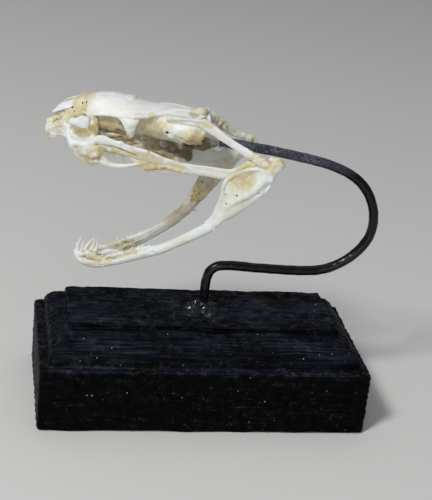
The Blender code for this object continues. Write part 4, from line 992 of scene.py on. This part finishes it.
def build_far_compound():
    """The rear half of the right lower jaw."""
    clay = Clay((-10.5, 6, -24.4), (8.9, 11.4, -0.3))
    clay.rod([(-9.6, 10.1, -3.1, 0.5, 0.5), (-8.9, 10.2, -3.5, 1.2, 0.9), (-7.4, 9.9, -4.6, 1.4, 0.8),
        (-5.4, 9.6, -5.9, 2, 0.65), (-3.4, 9.4, -7.6, 2.5, 0.62), (-1.6, 9.2, -10, 2.7, 0.62),
        (0.4, 8.9, -13.3, 2.45, 0.62), (2.5, 8.4, -16.9, 1.95, 0.68), (4.6, 7.8, -20.4, 1.5, 0.72),
        (6.6, 7.4, -22.7, 1.2, 0.7), (7.9, 7.1, -23.7, 0.6, 0.5)])
    clay.ball((-8.6, 10.3, -2.6), (0.9, 0.7, 0.8), 0.4)
    clay.ball((-2.4, 10.6, -8.8), (4.8, 1.3, 2.1), 0.4, dip=52, carve=True)
    clay.cord([(-6.6, 9.7, -3.7), (-3.8, 9.4, -5), (-1.5, 9.1, -7.6), (0.7, 8.9, -10.8),
        (2.3, 8.5, -14.2)], 0.34, 0.5)
    clay.cord([(-6.9, 9.9, -6.3), (-5.2, 9.6, -8.6), (-3.2, 9.3, -11.6), (-1, 8.9, -14.6),
        (1.4, 8.4, -18)], 0.34, 0.5)
    clay.groove([(0.2, 8.1, -13.6), (2.6, 7.6, -17.6), (5.6, 7, -21.6)], 0.14, 0.22)
    clay.groove([(-4, 8.7, -7.6), (-1.4, 8.4, -11.2), (1, 8, -15.2)], -0.14, 0.3)
    # Nerve holes.
    for at in ((3.3, 7.5, -16.2), (2.6, 7.6, -15.2), (3.8, 7.4, -17.6), (3.9, 7.4, -18.4),
            (2.2, 7.6, -16.9), (-0.6, 8.3, -12.6), (1.8, 7.9, -13.8), (-5.6, 8.9, -6.4)):
        clay.ball(at, (0.2, 0.6, 0.2), 0.08, carve=True)
    clay.ball((2.9, 7.9, -21.2), (0.4, 0.3, 0.35), 0.2)
    clay.roughen(1.8, 0.1, 141)
    clay.roughen(0.5, 0.08, 142)
    # The dark brown over the middle of this jaw is partly dirt and partly painted shade.
    stains = [(YELLOW, (1, 8.4, -13), (8, 2.4, 9), 0.5), (DIRT_AND_SHADE, (2.4, 8.2, -15), (4.6, 2.4, 7), 0.28),
        (YELLOW, (-8.4, 10, -3.4), (2.6, 2, 2.2), 0.65), (YELLOW, (-2.2, 9.8, -8.6), (4.4, 0.9, 4.8), 0.4),
        (YELLOW, (2.9, 8, -16), (1.7, 1.4, 4.4), 0.9), (TAN, (3.2, 8, -16.6), (1.3, 1.4, 3.4), 0.28),
        (YELLOW, (6.2, 7.3, -21.6), (2.2, 1.6, 2.2), 0.6)]
    make_bone("jaw_compound", FAR, clay, stains, tone=(0.16, 0.04))


def small_teeth(us, line, lean):
    """Pegs standing on a line of (u, s, w) points, leaning back as they rise."""
    line = np.array(line)
    teeth = []
    for u, height in us:
        s, w = (np.interp(u, line[:, 0], line[:, k]) for k in (1, 2))
        tip = (u - lean * height, s, w + height)
        teeth.append(((u, s, w - 0.15), tip, 0.17 + 0.05 * height, (0.12 * height, 0, 0)))
    return teeth


def build_near_dentary():
    """The toothed front half of the left lower jaw."""
    clay = Clay((-3.2, 1, -35), (30.9, 8.8, -15.6))
    clay.rod([(-2, 7.5, -17.4, 0.8, 0.6), (-1, 7.3, -18.1, 1.25, 0.85), (3.8, 6.3, -21.8, 1.2, 0.85),
        (9.6, 5.3, -25.8, 1.2, 0.88), (15.6, 4.3, -28.7, 1.2, 0.9), (20.4, 3.5, -31.1, 1.05, 0.88),
        (24.5, 2.8, -32.4, 1.05, 0.9), (27.2, 2.3, -32.4, 1.05, 0.9), (28.7, 2, -31.4, 1, 0.75),
        (29.2, 1.9, -30.2, 0.65, 0.55)])
    clay.rod([(22.6, 3.3, -30.4, 0.4, 0.35), (19.6, 3.7, -29.3, 0.6, 0.4), (16.4, 4.1, -27.9, 0.65, 0.4),
        (13.4, 4.6, -26.5, 0.6, 0.4), (11.2, 4.9, -25.6, 0.35, 0.3)])
    # Dried gum round the front teeth.
    clay.balls([((27.9, 2.3, -30.7), (0.8, 0.8, 0.7)), ((26.4, 2.7, -30.2), (0.9, 0.8, 0.8)),
        ((24.9, 2.9, -30.4), (0.8, 0.7, 0.9)), ((23.4, 3.2, -30.9), (0.9, 0.7, 0.8)),
        ((22, 3.4, -30.8), (0.7, 0.6, 0.6)), ((28.9, 2, -29.4), (0.5, 0.5, 0.6)),
        ((29.2, 2, -28.6), (0.32, 0.3, 0.45)), ((20.4, 3.7, -29.8), (0.7, 0.5, 0.45))], blend=0.35)
    clay.ball((25.5, 2.9, -30.7), (1.5, 0.75, 0.9), 0.3)
    clay.cord([(11.4, 5.7, -25.4), (13.6, 5.3, -26.6), (15.4, 5, -27.6), (17.3, 4.7, -28.6),
        (19.5, 4.35, -29.8), (21.6, 4.1, -30.6)], 0.4, 0.12, carve=True)
    clay.groove([(27, 3.1, -33), (21, 4.35, -31.9), (15.6, 5.2, -29.6), (10, 6.15, -26.8)], 0.07, 0.25)
    clay.groove([(24, 1.95, -32.4), (19, 2.85, -30.4), (12, 4.1, -27), (6, 5.1, -23.4),
        (1, 6, -19.9)], 0.22, 0.25)
    clay.groove([(3.8, 7.2, -20.9), (6.6, 6.7, -23.4), (5.6, 6.8, -24)], 0.06, 0.15)
    # Nerve holes.
    for at in ((22.8, 4.1, -32.2), (18.2, 4.9, -30.4), (11.4, 6, -26.6)):
        clay.ball(at, (0.35, 0.5, 0.16), 0.08, dip=28, carve=True)
    clay.roughen(0.48, 0.32, 151, (24.8, 3.1, -30.5), (5.8, 2.4, 2.1))
    clay.roughen(0.5, 0.26, 154, (15.6, 4.3, -27.4), (6.4, 1.6, 1.3))
    clay.roughen(2.2, 0.11, 152)
    clay.roughen(0.7, 0.05, 153)
    teeth = [((29, 2, -29.2), (28.2, 2, -26.2), 0.34, (0.12, 0, 0)),
        ((28, 2.1, -30.9), (27.5, 2.1, -27.2), 0.33, (0.25, 0, 0)),
        ((27.3, 2.3, -29.7), (25, 2.3, -26.1), 0.44, (0.28, 0, 0.1)),
        ((25.9, 2.7, -29.2), (25.15, 2.4, -26.4), 0.34, (-0.2, 0, -0.1)),
        ((24.8, 2.6, -29.6), (24.35, 2.5, -26), 0.34, (-0.12, 0, 0)),
        ((26.6, 2, -30), (26.2, 2, -28.2), 0.3, (0.1, 0, 0))]
    ridge = [(11.2, 5, -25.2), (13.4, 4.6, -26), (16.4, 4.1, -27.3), (19.6, 3.6, -28.7), (22.6, 3.2, -30),
        (24.3, 3, -30.4)]
    teeth += small_teeth(((22.9, 0.9), (20.6, 0.9), (18.6, 0.7), (16.3, 0.8), (14.8, 0.9), (13.9, 0.8),
        (12.4, 0.6)), ridge, 0.3)
    stains = [(YELLOW, (24.2, 2.9, -30.9), (5.4, 2.2, 1.9), 0.7),
        (TAN, (24.8, 2.8, -32.4), (4.4, 2.2, 1), 0.12), (TAN, (25, 3.2, -30.2), (2.6, 1.6, 0.8), 0.1),
        (YELLOW, (16.6, 4.2, -27.6), (5.6, 1.3, 1.2), 0.75),
        (YELLOW, (20.8, 3.6, -29.9), (2.6, 1.4, 1.2), 0.6),
        (YELLOW, (4.6, 6.4, -22.2), (3.4, 1.6, 2.6), 0.25), (WHITE, (28.9, 2, -31), (1.4, 1.5, 1.8), 0.75)]
    make_bone("dentary", NEAR, clay, stains, tone=(0.03, 0), teeth=teeth)


def build_far_dentary():
    """The toothed front half of the right lower jaw."""
    clay = Clay((4.7, 2.9, -35), (28, 8.7, -20))
    clay.rod([(5.8, 7.4, -22.2, 0.8, 0.5), (6.8, 7.3, -22.9, 1.4, 0.78), (8.6, 6.9, -24.4, 1.4, 0.82),
        (12.3, 6.2, -27.3, 1.2, 0.86), (16.2, 5.5, -29.7, 1.15, 0.88), (20.4, 4.8, -31.8, 1.1, 0.85),
        (23.4, 4.4, -32.7, 1, 0.8), (25.6, 4.1, -32.8, 0.85, 0.7), (26.7, 4, -32.7, 0.55, 0.5)])
    clay.rod([(25, 3.9, -31.9, 0.5, 0.4), (22.4, 4.2, -31.2, 0.75, 0.55), (18, 4.9, -29.4, 0.75, 0.55),
        (14, 5.6, -27.3, 0.65, 0.45), (10.4, 6.3, -24.9, 0.4, 0.3)], 0.35)
    # Dried gum along the teeth.
    for u, s, w, size in ((24.4, 3.9, -31.6, 0.6), (22.6, 4.1, -30.9, 0.5), (20.8, 4.3, -30.4, 0.6),
            (18.9, 4.6, -29.4, 0.6), (17.3, 4.9, -28.7, 0.55), (15.4, 5.3, -27.9, 0.5),
            (13.2, 5.7, -26.7, 0.45)):
        clay.ball((u, s, w), (size * 1.2, size, size), 0.3)
    clay.ball((21.9, 3.6, -32.45), (2.7, 0.55, 0.8), 0.1, dip=15)
    clay.groove([(24.6, 3.4, -33.4), (20, 4, -32.3), (14, 5.1, -28.9), (9, 6.1, -25.3)], 0.16, 0.25)
    clay.groove([(24, 5.2, -32.7), (17, 6.2, -30.3), (10, 7.4, -26)], 0.14, 0.25)
    clay.ball((7.3, 7.1, -21.7), (0.75, 0.6, 0.45), 0.25, dip=35)
    clay.groove([(8.1, 6.3, -22.4), (7.2, 6.4, -23.2), (6.4, 6.5, -24.6)], 0.16)
    # Nerve holes.
    for at in ((21, 5.6, -31.9), (15.4, 6.4, -29.3)):
        clay.ball(at, (0.35, 0.5, 0.2), 0.1, dip=28, carve=True)
    clay.roughen(0.48, 0.28, 161, (19.6, 4.6, -30), (7.4, 2.2, 2))
    clay.roughen(2.2, 0.11, 162)
    clay.roughen(0.7, 0.05, 163)
    ridge = [(10.4, 6.3, -24.6), (14, 5.6, -26.8), (18, 4.9, -28.9), (22.4, 4.1, -30.7), (25, 3.9, -31.6)]
    teeth = small_teeth(((24.6, 0.9), (22.5, 0.7), (20.5, 1.7), (19.4, 0.7), (18.2, 1.5), (17.3, 1.35),
        (15.4, 0.9), (13.6, 1.1), (11.6, 1.5)), ridge, 0.32)
    stains = [(YELLOW, (19.6, 4.8, -30), (7.4, 2.2, 1.7), 0.65),
        (YELLOW, (8, 6.8, -23), (2.6, 2, 2.4), 0.5), (WHITE, (21.8, 3.5, -32.6), (2.6, 0.8, 0.8), 0.9)]
    make_bone("dentary", FAR, clay, stains, tone=(0.06, 0.02), teeth=teeth)


# The wire's centre line in x and z, in millimetres, as the solid has it.
WIRE_LINE = ((0.8, 13.0), (0.8, 22.0), (0.8, 28.4), (1.8, 31.7), (4.8, 32.9), (13.4, 32.5), (23.0, 32.2),
             (29.2, 32.9), (34.6, 35.9), (38.2, 40.4), (39.1, 45.3), (37.6, 50.9), (33.8, 55.5),
             (27.2, 58.7), (17.2, 60.9), (6.1, 62.6), (-6.5, 64.2))
WIRE_Y = 1.7
WIRE_RADIUS = 1.14
WIRE_SIDES = 40
WIRE_BLACK = (0.004, 0.0042, 0.005)
WIRE_GREY = (0.2, 0.22, 0.27)


def wire_paint():
    """Glossy black paint, rough and grey where it nears the skull."""
    shader = Shader("gloss_black_wire", specular_ior_level=0.22, coat_weight=0.12, coat_roughness=0.08)
    frost = shader.noise(0.32 * MM, 6, roughness=0.75)
    cloud = shader.noise(3.0 * MM, 3)
    height = shader.node("ShaderNodeSeparateXYZ", Vector=shader.place).outputs["Z"]
    bloom = shader.times(shader.range(height, 0.0565, 0.0605), shader.range(cloud, 0.25, 0.55, 0.45))
    dust = shader.times(bloom, shader.range(frost, 0.42, 0.62))
    wisp = shader.times(shader.range(frost, 0.6, 0.75), 0.12)
    colour = shader.mix(shader.math("ADD", dust, wisp), WIRE_BLACK, WIRE_GREY)
    rough = shader.math("ADD", shader.range(cloud, 0.3, 0.7, 0.16, 0.3), shader.times(dust, 0.4))
    normal = shader.bump(frost, 0.04 * MM, 0.4)
    normal = shader.bump(shader.noise(1.6 * MM, 3), 0.09 * MM, 0.5, normal)
    return shader.finish(colour, rough, normal)


def build_wire():
    """A lumpy tube round the centre line, closed by shrinking rings at both ends."""
    line = catmull([(x, WIRE_Y, z) for x, z in WIRE_LINE], 0.3)
    along = np.gradient(line, axis=0)
    along /= np.linalg.norm(along, axis=1, keepdims=True)
    sideways = np.array((0.0, 1.0, 0.0))
    upward = np.cross(along, sideways)
    turn = np.arange(WIRE_SIDES) * 2 * pi / WIRE_SIDES
    spokes = np.cos(turn)[None, :, None] * sideways + np.sin(turn)[None, :, None] * upward[:, None, :]
    bare = line[:, None, :] + spokes * WIRE_RADIUS
    flat = bare.reshape(-1, 3)
    lumps = 0.035 * ripple(flat, 2.2, 201) + 0.02 * ripple(flat, 0.8, 202) - 0.01
    radii = WIRE_RADIUS + np.minimum(lumps, 0.045).reshape(bare.shape[:2])
    shrink = np.linspace(0.05, 1.0, 5)[:-1, None]
    extra = (len(shrink),) * 2
    line = np.pad(line, (extra, (0, 0)), "edge")
    spokes = np.pad(spokes, (extra, (0, 0), (0, 0)), "edge")
    radii = np.pad(radii, (extra, (0, 0)), "edge")
    radii[:len(shrink)] *= shrink
    radii[-len(shrink):] *= shrink[::-1]
    rings = line[:, None, :] + spokes * radii[:, :, None]
    faces = tube_faces(len(rings), WIRE_SIDES)
    piece = add_mesh("wire_stand_painted", rings.reshape(-1, 3) * MM, faces, wire_paint())
    keep(piece, "wire_stand")


BLOCK_HALF = (38.1, 19.05)
BLOCK_AROUND = 540
CORNER_RADIUS = 1.2
# The block's edge, in millimetres: how far in from the foot, and how high.
FOOT = ((0.5, 0.0), (0.14, 0.18), (0.0, 0.6))
MOULDING = ((0.0, 14.6), (0.08, 15.0), (0.4, 15.35), (1.2, 15.42), (1.75, 15.5), (1.95, 15.9), (2.2, 16.9),
            (2.9, 18.1), (4.2, 19.2), (5.3, 19.65), (6.2, 19.8), (6.6, 19.95), (6.7, 20.4), (6.75, 21.4),
            (6.9, 21.8), (7.2, 22.0))
# How far the front edge of the panel stands back and up, by the inset.
SET_BACK = ((3.2, 6.6), (0.0, 3.0))
SET_UP = ((3.2, 5.6, 6.5, 6.75, 6.9, 7.2), (0.0, 1.25, 1.5, 0.9, 0.2, 0.0))
WIRE_FOOT = (0.8, 1.7)
PAINT_SIDE = (0.0014, 0.0014, 0.0014)
# Painted reflection: the bluish tint of the sky on faces that look up.
TOP_SKY_REFLECTION = (0.0022, 0.0028, 0.0042)
# Painted sheen: a bluish reflection on faces that look up.
PAINTED_SHEEN_BLUE = (0.02, 0.027, 0.045)
PAINT_SCUFF = (0.05, 0.055, 0.066)
PAINT_RUBBED = (0.06, 0.06, 0.062)
PAINT_SPECK = (0.34, 0.33, 0.32)
GLUE_ROUGHNESS = (0.06, 0.06, 0.06)


def block_ring(inset):
    """Points round a rectangle with rounded corners, moved in by the inset."""
    half_x, half_y = (half - inset for half in BLOCK_HALF)
    radius = max(CORNER_RADIUS - inset * 0.1, 0.5)
    corners = [(sx * (half_x - radius), sy * (half_y - radius), start)
               for sx, sy, start in ((1, 1, 0), (-1, 1, 90), (-1, -1, 180), (1, -1, 270))]
    loop = [(x + radius * cos(radians(start + step)), y + radius * sin(radians(start + step)))
            for x, y, start in corners for step in range(0, 91, 10)]
    loop = np.array(loop + loop[:1])
    run = np.concatenate(((0.0,), np.cumsum(np.linalg.norm(np.diff(loop, axis=0), axis=1))))
    at = np.linspace(0, run[-1], BLOCK_AROUND, endpoint=False)
    return np.stack((np.interp(at, run, loop[:, 0]), np.interp(at, run, loop[:, 1])), 1)


def block_rings():
    """Rings from the middle of the underside, up the moulded sides, to the middle of the panel."""
    foot, edge = (catmull([(inset, z, 0.0) for inset, z in line], 0.3)[:, :2] for line in (FOOT, MOULDING))
    rings = []
    for inset, z in np.vstack((foot, np.linspace(foot[-1], edge[0], 47)[1:-1], edge)):
        ring = np.column_stack((block_ring(inset), np.full(BLOCK_AROUND, z)))
        front = np.clip(-ring[:, 1] / (BLOCK_HALF[1] - inset), 0, 1)
        ring[:, 1] += front * np.interp(inset, *SET_BACK) * (1 - 0.12 * ring[:, 0] / BLOCK_HALF[0])
        ring[:, 2] += front ** 5 * np.interp(inset, *SET_UP)
        rings.append(ring)
    underside = [rings[0] * (k, k, 1) for k in (0.04, 0.2, 0.4, 0.6, 0.8, 0.95)]
    panel = [rings[-1] * (k, k, 1) for k in np.linspace(1.0, 0.0, 84)[1:-1]]
    return np.array(underside + rings + panel)


def block_relief(rings):
    """The rings' points, moved by grain, wear, chips and glue, and the values painted on them."""
    flat = rings.reshape(-1, 3)
    x, y, z = flat.T
    grain = ripple(flat, 0.8, 211, (11.0, 1.0, 1.0)) + 0.6 * ripple(flat, 0.45, 212, (16.0, 1.0, 1.0))
    wear = np.clip(ripple(flat, 2.2, 213, (2.4, 1.0, 1.0)) - 0.2, 0, 1)
    chips = np.clip(ripple(flat, 0.7, 216, (2.0, 1.0, 1.0)) - 0.9, 0, 1)
    edges = np.exp(-((z - 15.25) / 0.35) ** 2) + 0.6 * np.exp(-((z - 21.8) / 0.3) ** 2) * (np.abs(x) < 37)
    push = 0.16 + 0.05 * ripple(flat, 5.0, 214) + 0.06 * wear + 0.12 * chips - 0.11 * grain
    push = np.clip(push, 0.0, 0.45) + edges * np.clip(0.12 + 0.12 * ripple(flat, 1.6, 218), 0, 0.4)
    tangent = np.roll(rings, -1, 1) - np.roll(rings, 1, 1)
    normal = np.cross(tangent, np.gradient(rings, axis=0)).reshape(-1, 3)
    normal /= np.linalg.norm(normal, axis=1, keepdims=True) + TINY
    points = flat - normal * push[:, None]
    gap = np.hypot(x - WIRE_FOOT[0], y - WIRE_FOOT[1])
    glue = np.clip(1 - (gap / (4.2 + 1.3 * ripple(flat, 2.5, 215))) ** 2, 0, 1) * (z > 21.9)
    drops = 0.3 * ripple(flat, 0.7, 217) * np.clip(glue * 4, 0, 1)
    points[:, 2] += 0.95 * glue ** 0.7 + 0.9 * np.exp(-((gap - 1.2) / 0.55) ** 2) * (glue > 0) + drops
    points[:, 2] = np.maximum(points[:, 2], 0.0)
    return points, np.clip(np.stack((glue * 3, 0.5 + 0.5 * grain, normal[:, 2], edges), 1), 0, 1)


def block_paint():
    """Brushed near-black paint, with a painted bluish sky reflection and a painted sheen on faces that look
    up. The painted values say glue, grain, facing up and worn edge.
    """
    shader = Shader("brushed_black_paint", specular_ior_level=0.02, coat_roughness=0.2)
    glue, ridge, upward, edges = shader.painted()
    grain = shader.noise(0.5 * MM, 6, (0.045, 1.0, 1.0), 0.7)
    cloud = shader.noise(9 * MM, 3, (0.6, 1.0, 1.0))
    dusty = shader.noise(1.9 * MM, 6, roughness=0.75)
    # Painted sheen: bluish reflection in streaks along the grain, on faces that look up.
    painted_sheen = shader.times(shader.range(grain, 0.44, 0.62), shader.range(upward, 0.1, 0.8, 0.06))
    painted_sheen = shader.times(painted_sheen, shader.range(cloud, 0.42, 0.6, 0.12))
    scuff = shader.times(shader.range(grain, 0.57, 0.66), shader.range(dusty, 0.47, 0.62))
    scuff = shader.times(scuff, shader.range(ridge, 0.3, 0.8, 0.15, 0.9))
    rubbed = shader.times(edges, shader.range(dusty, 0.5, 0.62, 0.0, 0.5))
    fine = shader.range(shader.specks(0.75 * MM), 0.22, 0.12)
    fine = shader.times(shader.times(fine, shader.range(dusty, 0.53, 0.62)), 0.3)
    coarse = shader.range(shader.specks(2.9 * MM), 0.07, 0.045)
    coarse = shader.times(shader.times(coarse, shader.range(cloud, 0.45, 0.55)), 0.8)
    # Faces that look up are mixed towards the painted bluish sky reflection.
    colour = shader.mix(upward, PAINT_SIDE, TOP_SKY_REFLECTION)
    for share, layer in ((painted_sheen, PAINTED_SHEEN_BLUE), (scuff, PAINT_SCUFF), (rubbed, PAINT_RUBBED),
                         (shader.math("MAXIMUM", fine, coarse), PAINT_SPECK)):
        colour = shader.mix(share, colour, layer)
    shine = shader.times(shader.range(dusty, 0.45, 0.65, 0.0, 0.42), shader.range(upward, 0.1, 0.9, 0.25))
    shader.feed(shader.sockets["Coat Weight"], shader.math("MAXIMUM", shine, shader.times(glue, 0.95)))
    rough = shader.mix(glue, shader.range(dusty, 0.3, 0.7, 0.22, 0.5), GLUE_ROUGHNESS)
    normal = shader.bump(grain, 0.28 * MM, 0.75)
    normal = shader.bump(dusty, 0.2 * MM, 0.5, normal)
    return shader.finish(colour, rough, normal)


def build_block():
    rings = block_rings()
    points, wear = block_relief(rings)
    faces = tube_faces(len(rings), BLOCK_AROUND)
    piece = add_mesh("wood_base_painted", points * MM, faces, block_paint(), wear)
    keep(piece, "wood_base")


FLOOR_SIZE = 40.0
FLOOR_COLOUR = (0.78, 0.775, 0.76, 1.0)
SKY_COLOUR = (0.93, 0.96, 1.0, 1.0)
SKY_STRENGTH = 0.15
LAMP_AIM = Vector((0.0, 0.0, 0.05))
# A lamp is (name, place, size, power).
LAMPS = (("key", (-0.404, -0.404, 0.68), 0.16, 4.3), ("fill", (-0.12, -0.78, 0.16), 0.5, 1.5),
         ("sky", (0.05, 0.25, 0.8), 0.7, 0.7))
CAMERA_PLACE = (-0.05328, -0.28713, 0.15943)
CAMERA_TURNS = (10.916, 22.638, 6.084)
CAMERA_LENS = 98.72


def build_stage():
    """A plain pale floor and soft studio lights, brightest from the front left."""
    bpy.ops.mesh.primitive_plane_add(size=FLOOR_SIZE)
    floor = bpy.context.object
    floor.name = "studio_floor"
    shader = Shader("studio_paper", base_color=FLOOR_COLOUR, roughness=0.9, specular_ior_level=0.1)
    floor.data.materials.append(shader.material)
    for name, place, size, power in LAMPS:
        lamp = bpy.data.lights.new(name, "AREA")
        lamp.size = size
        lamp.energy = power
        holder = bpy.data.objects.new(name, lamp)
        holder.location = place
        holder.rotation_euler = (LAMP_AIM - Vector(place)).to_track_quat("-Z", "Y").to_euler()
        bpy.context.scene.collection.objects.link(holder)
    sky = bpy.data.worlds.new("studio")
    sky.use_nodes = True
    background = sky.node_tree.nodes["Background"]
    background.inputs["Color"].default_value = SKY_COLOUR
    background.inputs["Strength"].default_value = SKY_STRENGTH
    bpy.context.scene.world = sky


def build_camera():
    """The photograph's view, found by matching the block, the wire and the skull to it."""
    yaw, pitch, roll = (radians(turn) for turn in CAMERA_TURNS)
    ahead = Vector((sin(yaw), cos(yaw), 0.0))
    right = Vector((cos(yaw), -sin(yaw), 0.0))
    forward = ahead * cos(pitch) - Vector((0, 0, sin(pitch)))
    upward = ahead * sin(pitch) + Vector((0, 0, cos(pitch)))
    x_axis = right * cos(roll) + upward * sin(roll)
    y_axis = upward * cos(roll) - right * sin(roll)
    lens = bpy.data.cameras.new("photo_view")
    lens.lens = CAMERA_LENS
    lens.sensor_width = 36
    lens.clip_start = 0.01
    camera = bpy.data.objects.new("photo_view", lens)
    turn = Matrix((x_axis, y_axis, -forward)).transposed().to_4x4()
    camera.matrix_world = Matrix.Translation(CAMERA_PLACE) @ turn
    bpy.context.scene.collection.objects.link(camera)
    bpy.context.scene.camera = camera


build_braincase()
build_premaxilla()
build_nose()
for build in (build_nasal, build_prefrontal, build_postorbital, build_maxilla, build_fang,
              build_ectopterygoid, build_palatine, build_pterygoid, build_hinge_bones):
    for side in SIDES:
        build(side)
for build in (build_near_compound, build_far_compound, build_near_dentary, build_far_dentary,
              build_wire, build_block, build_stage, build_camera):
    build()
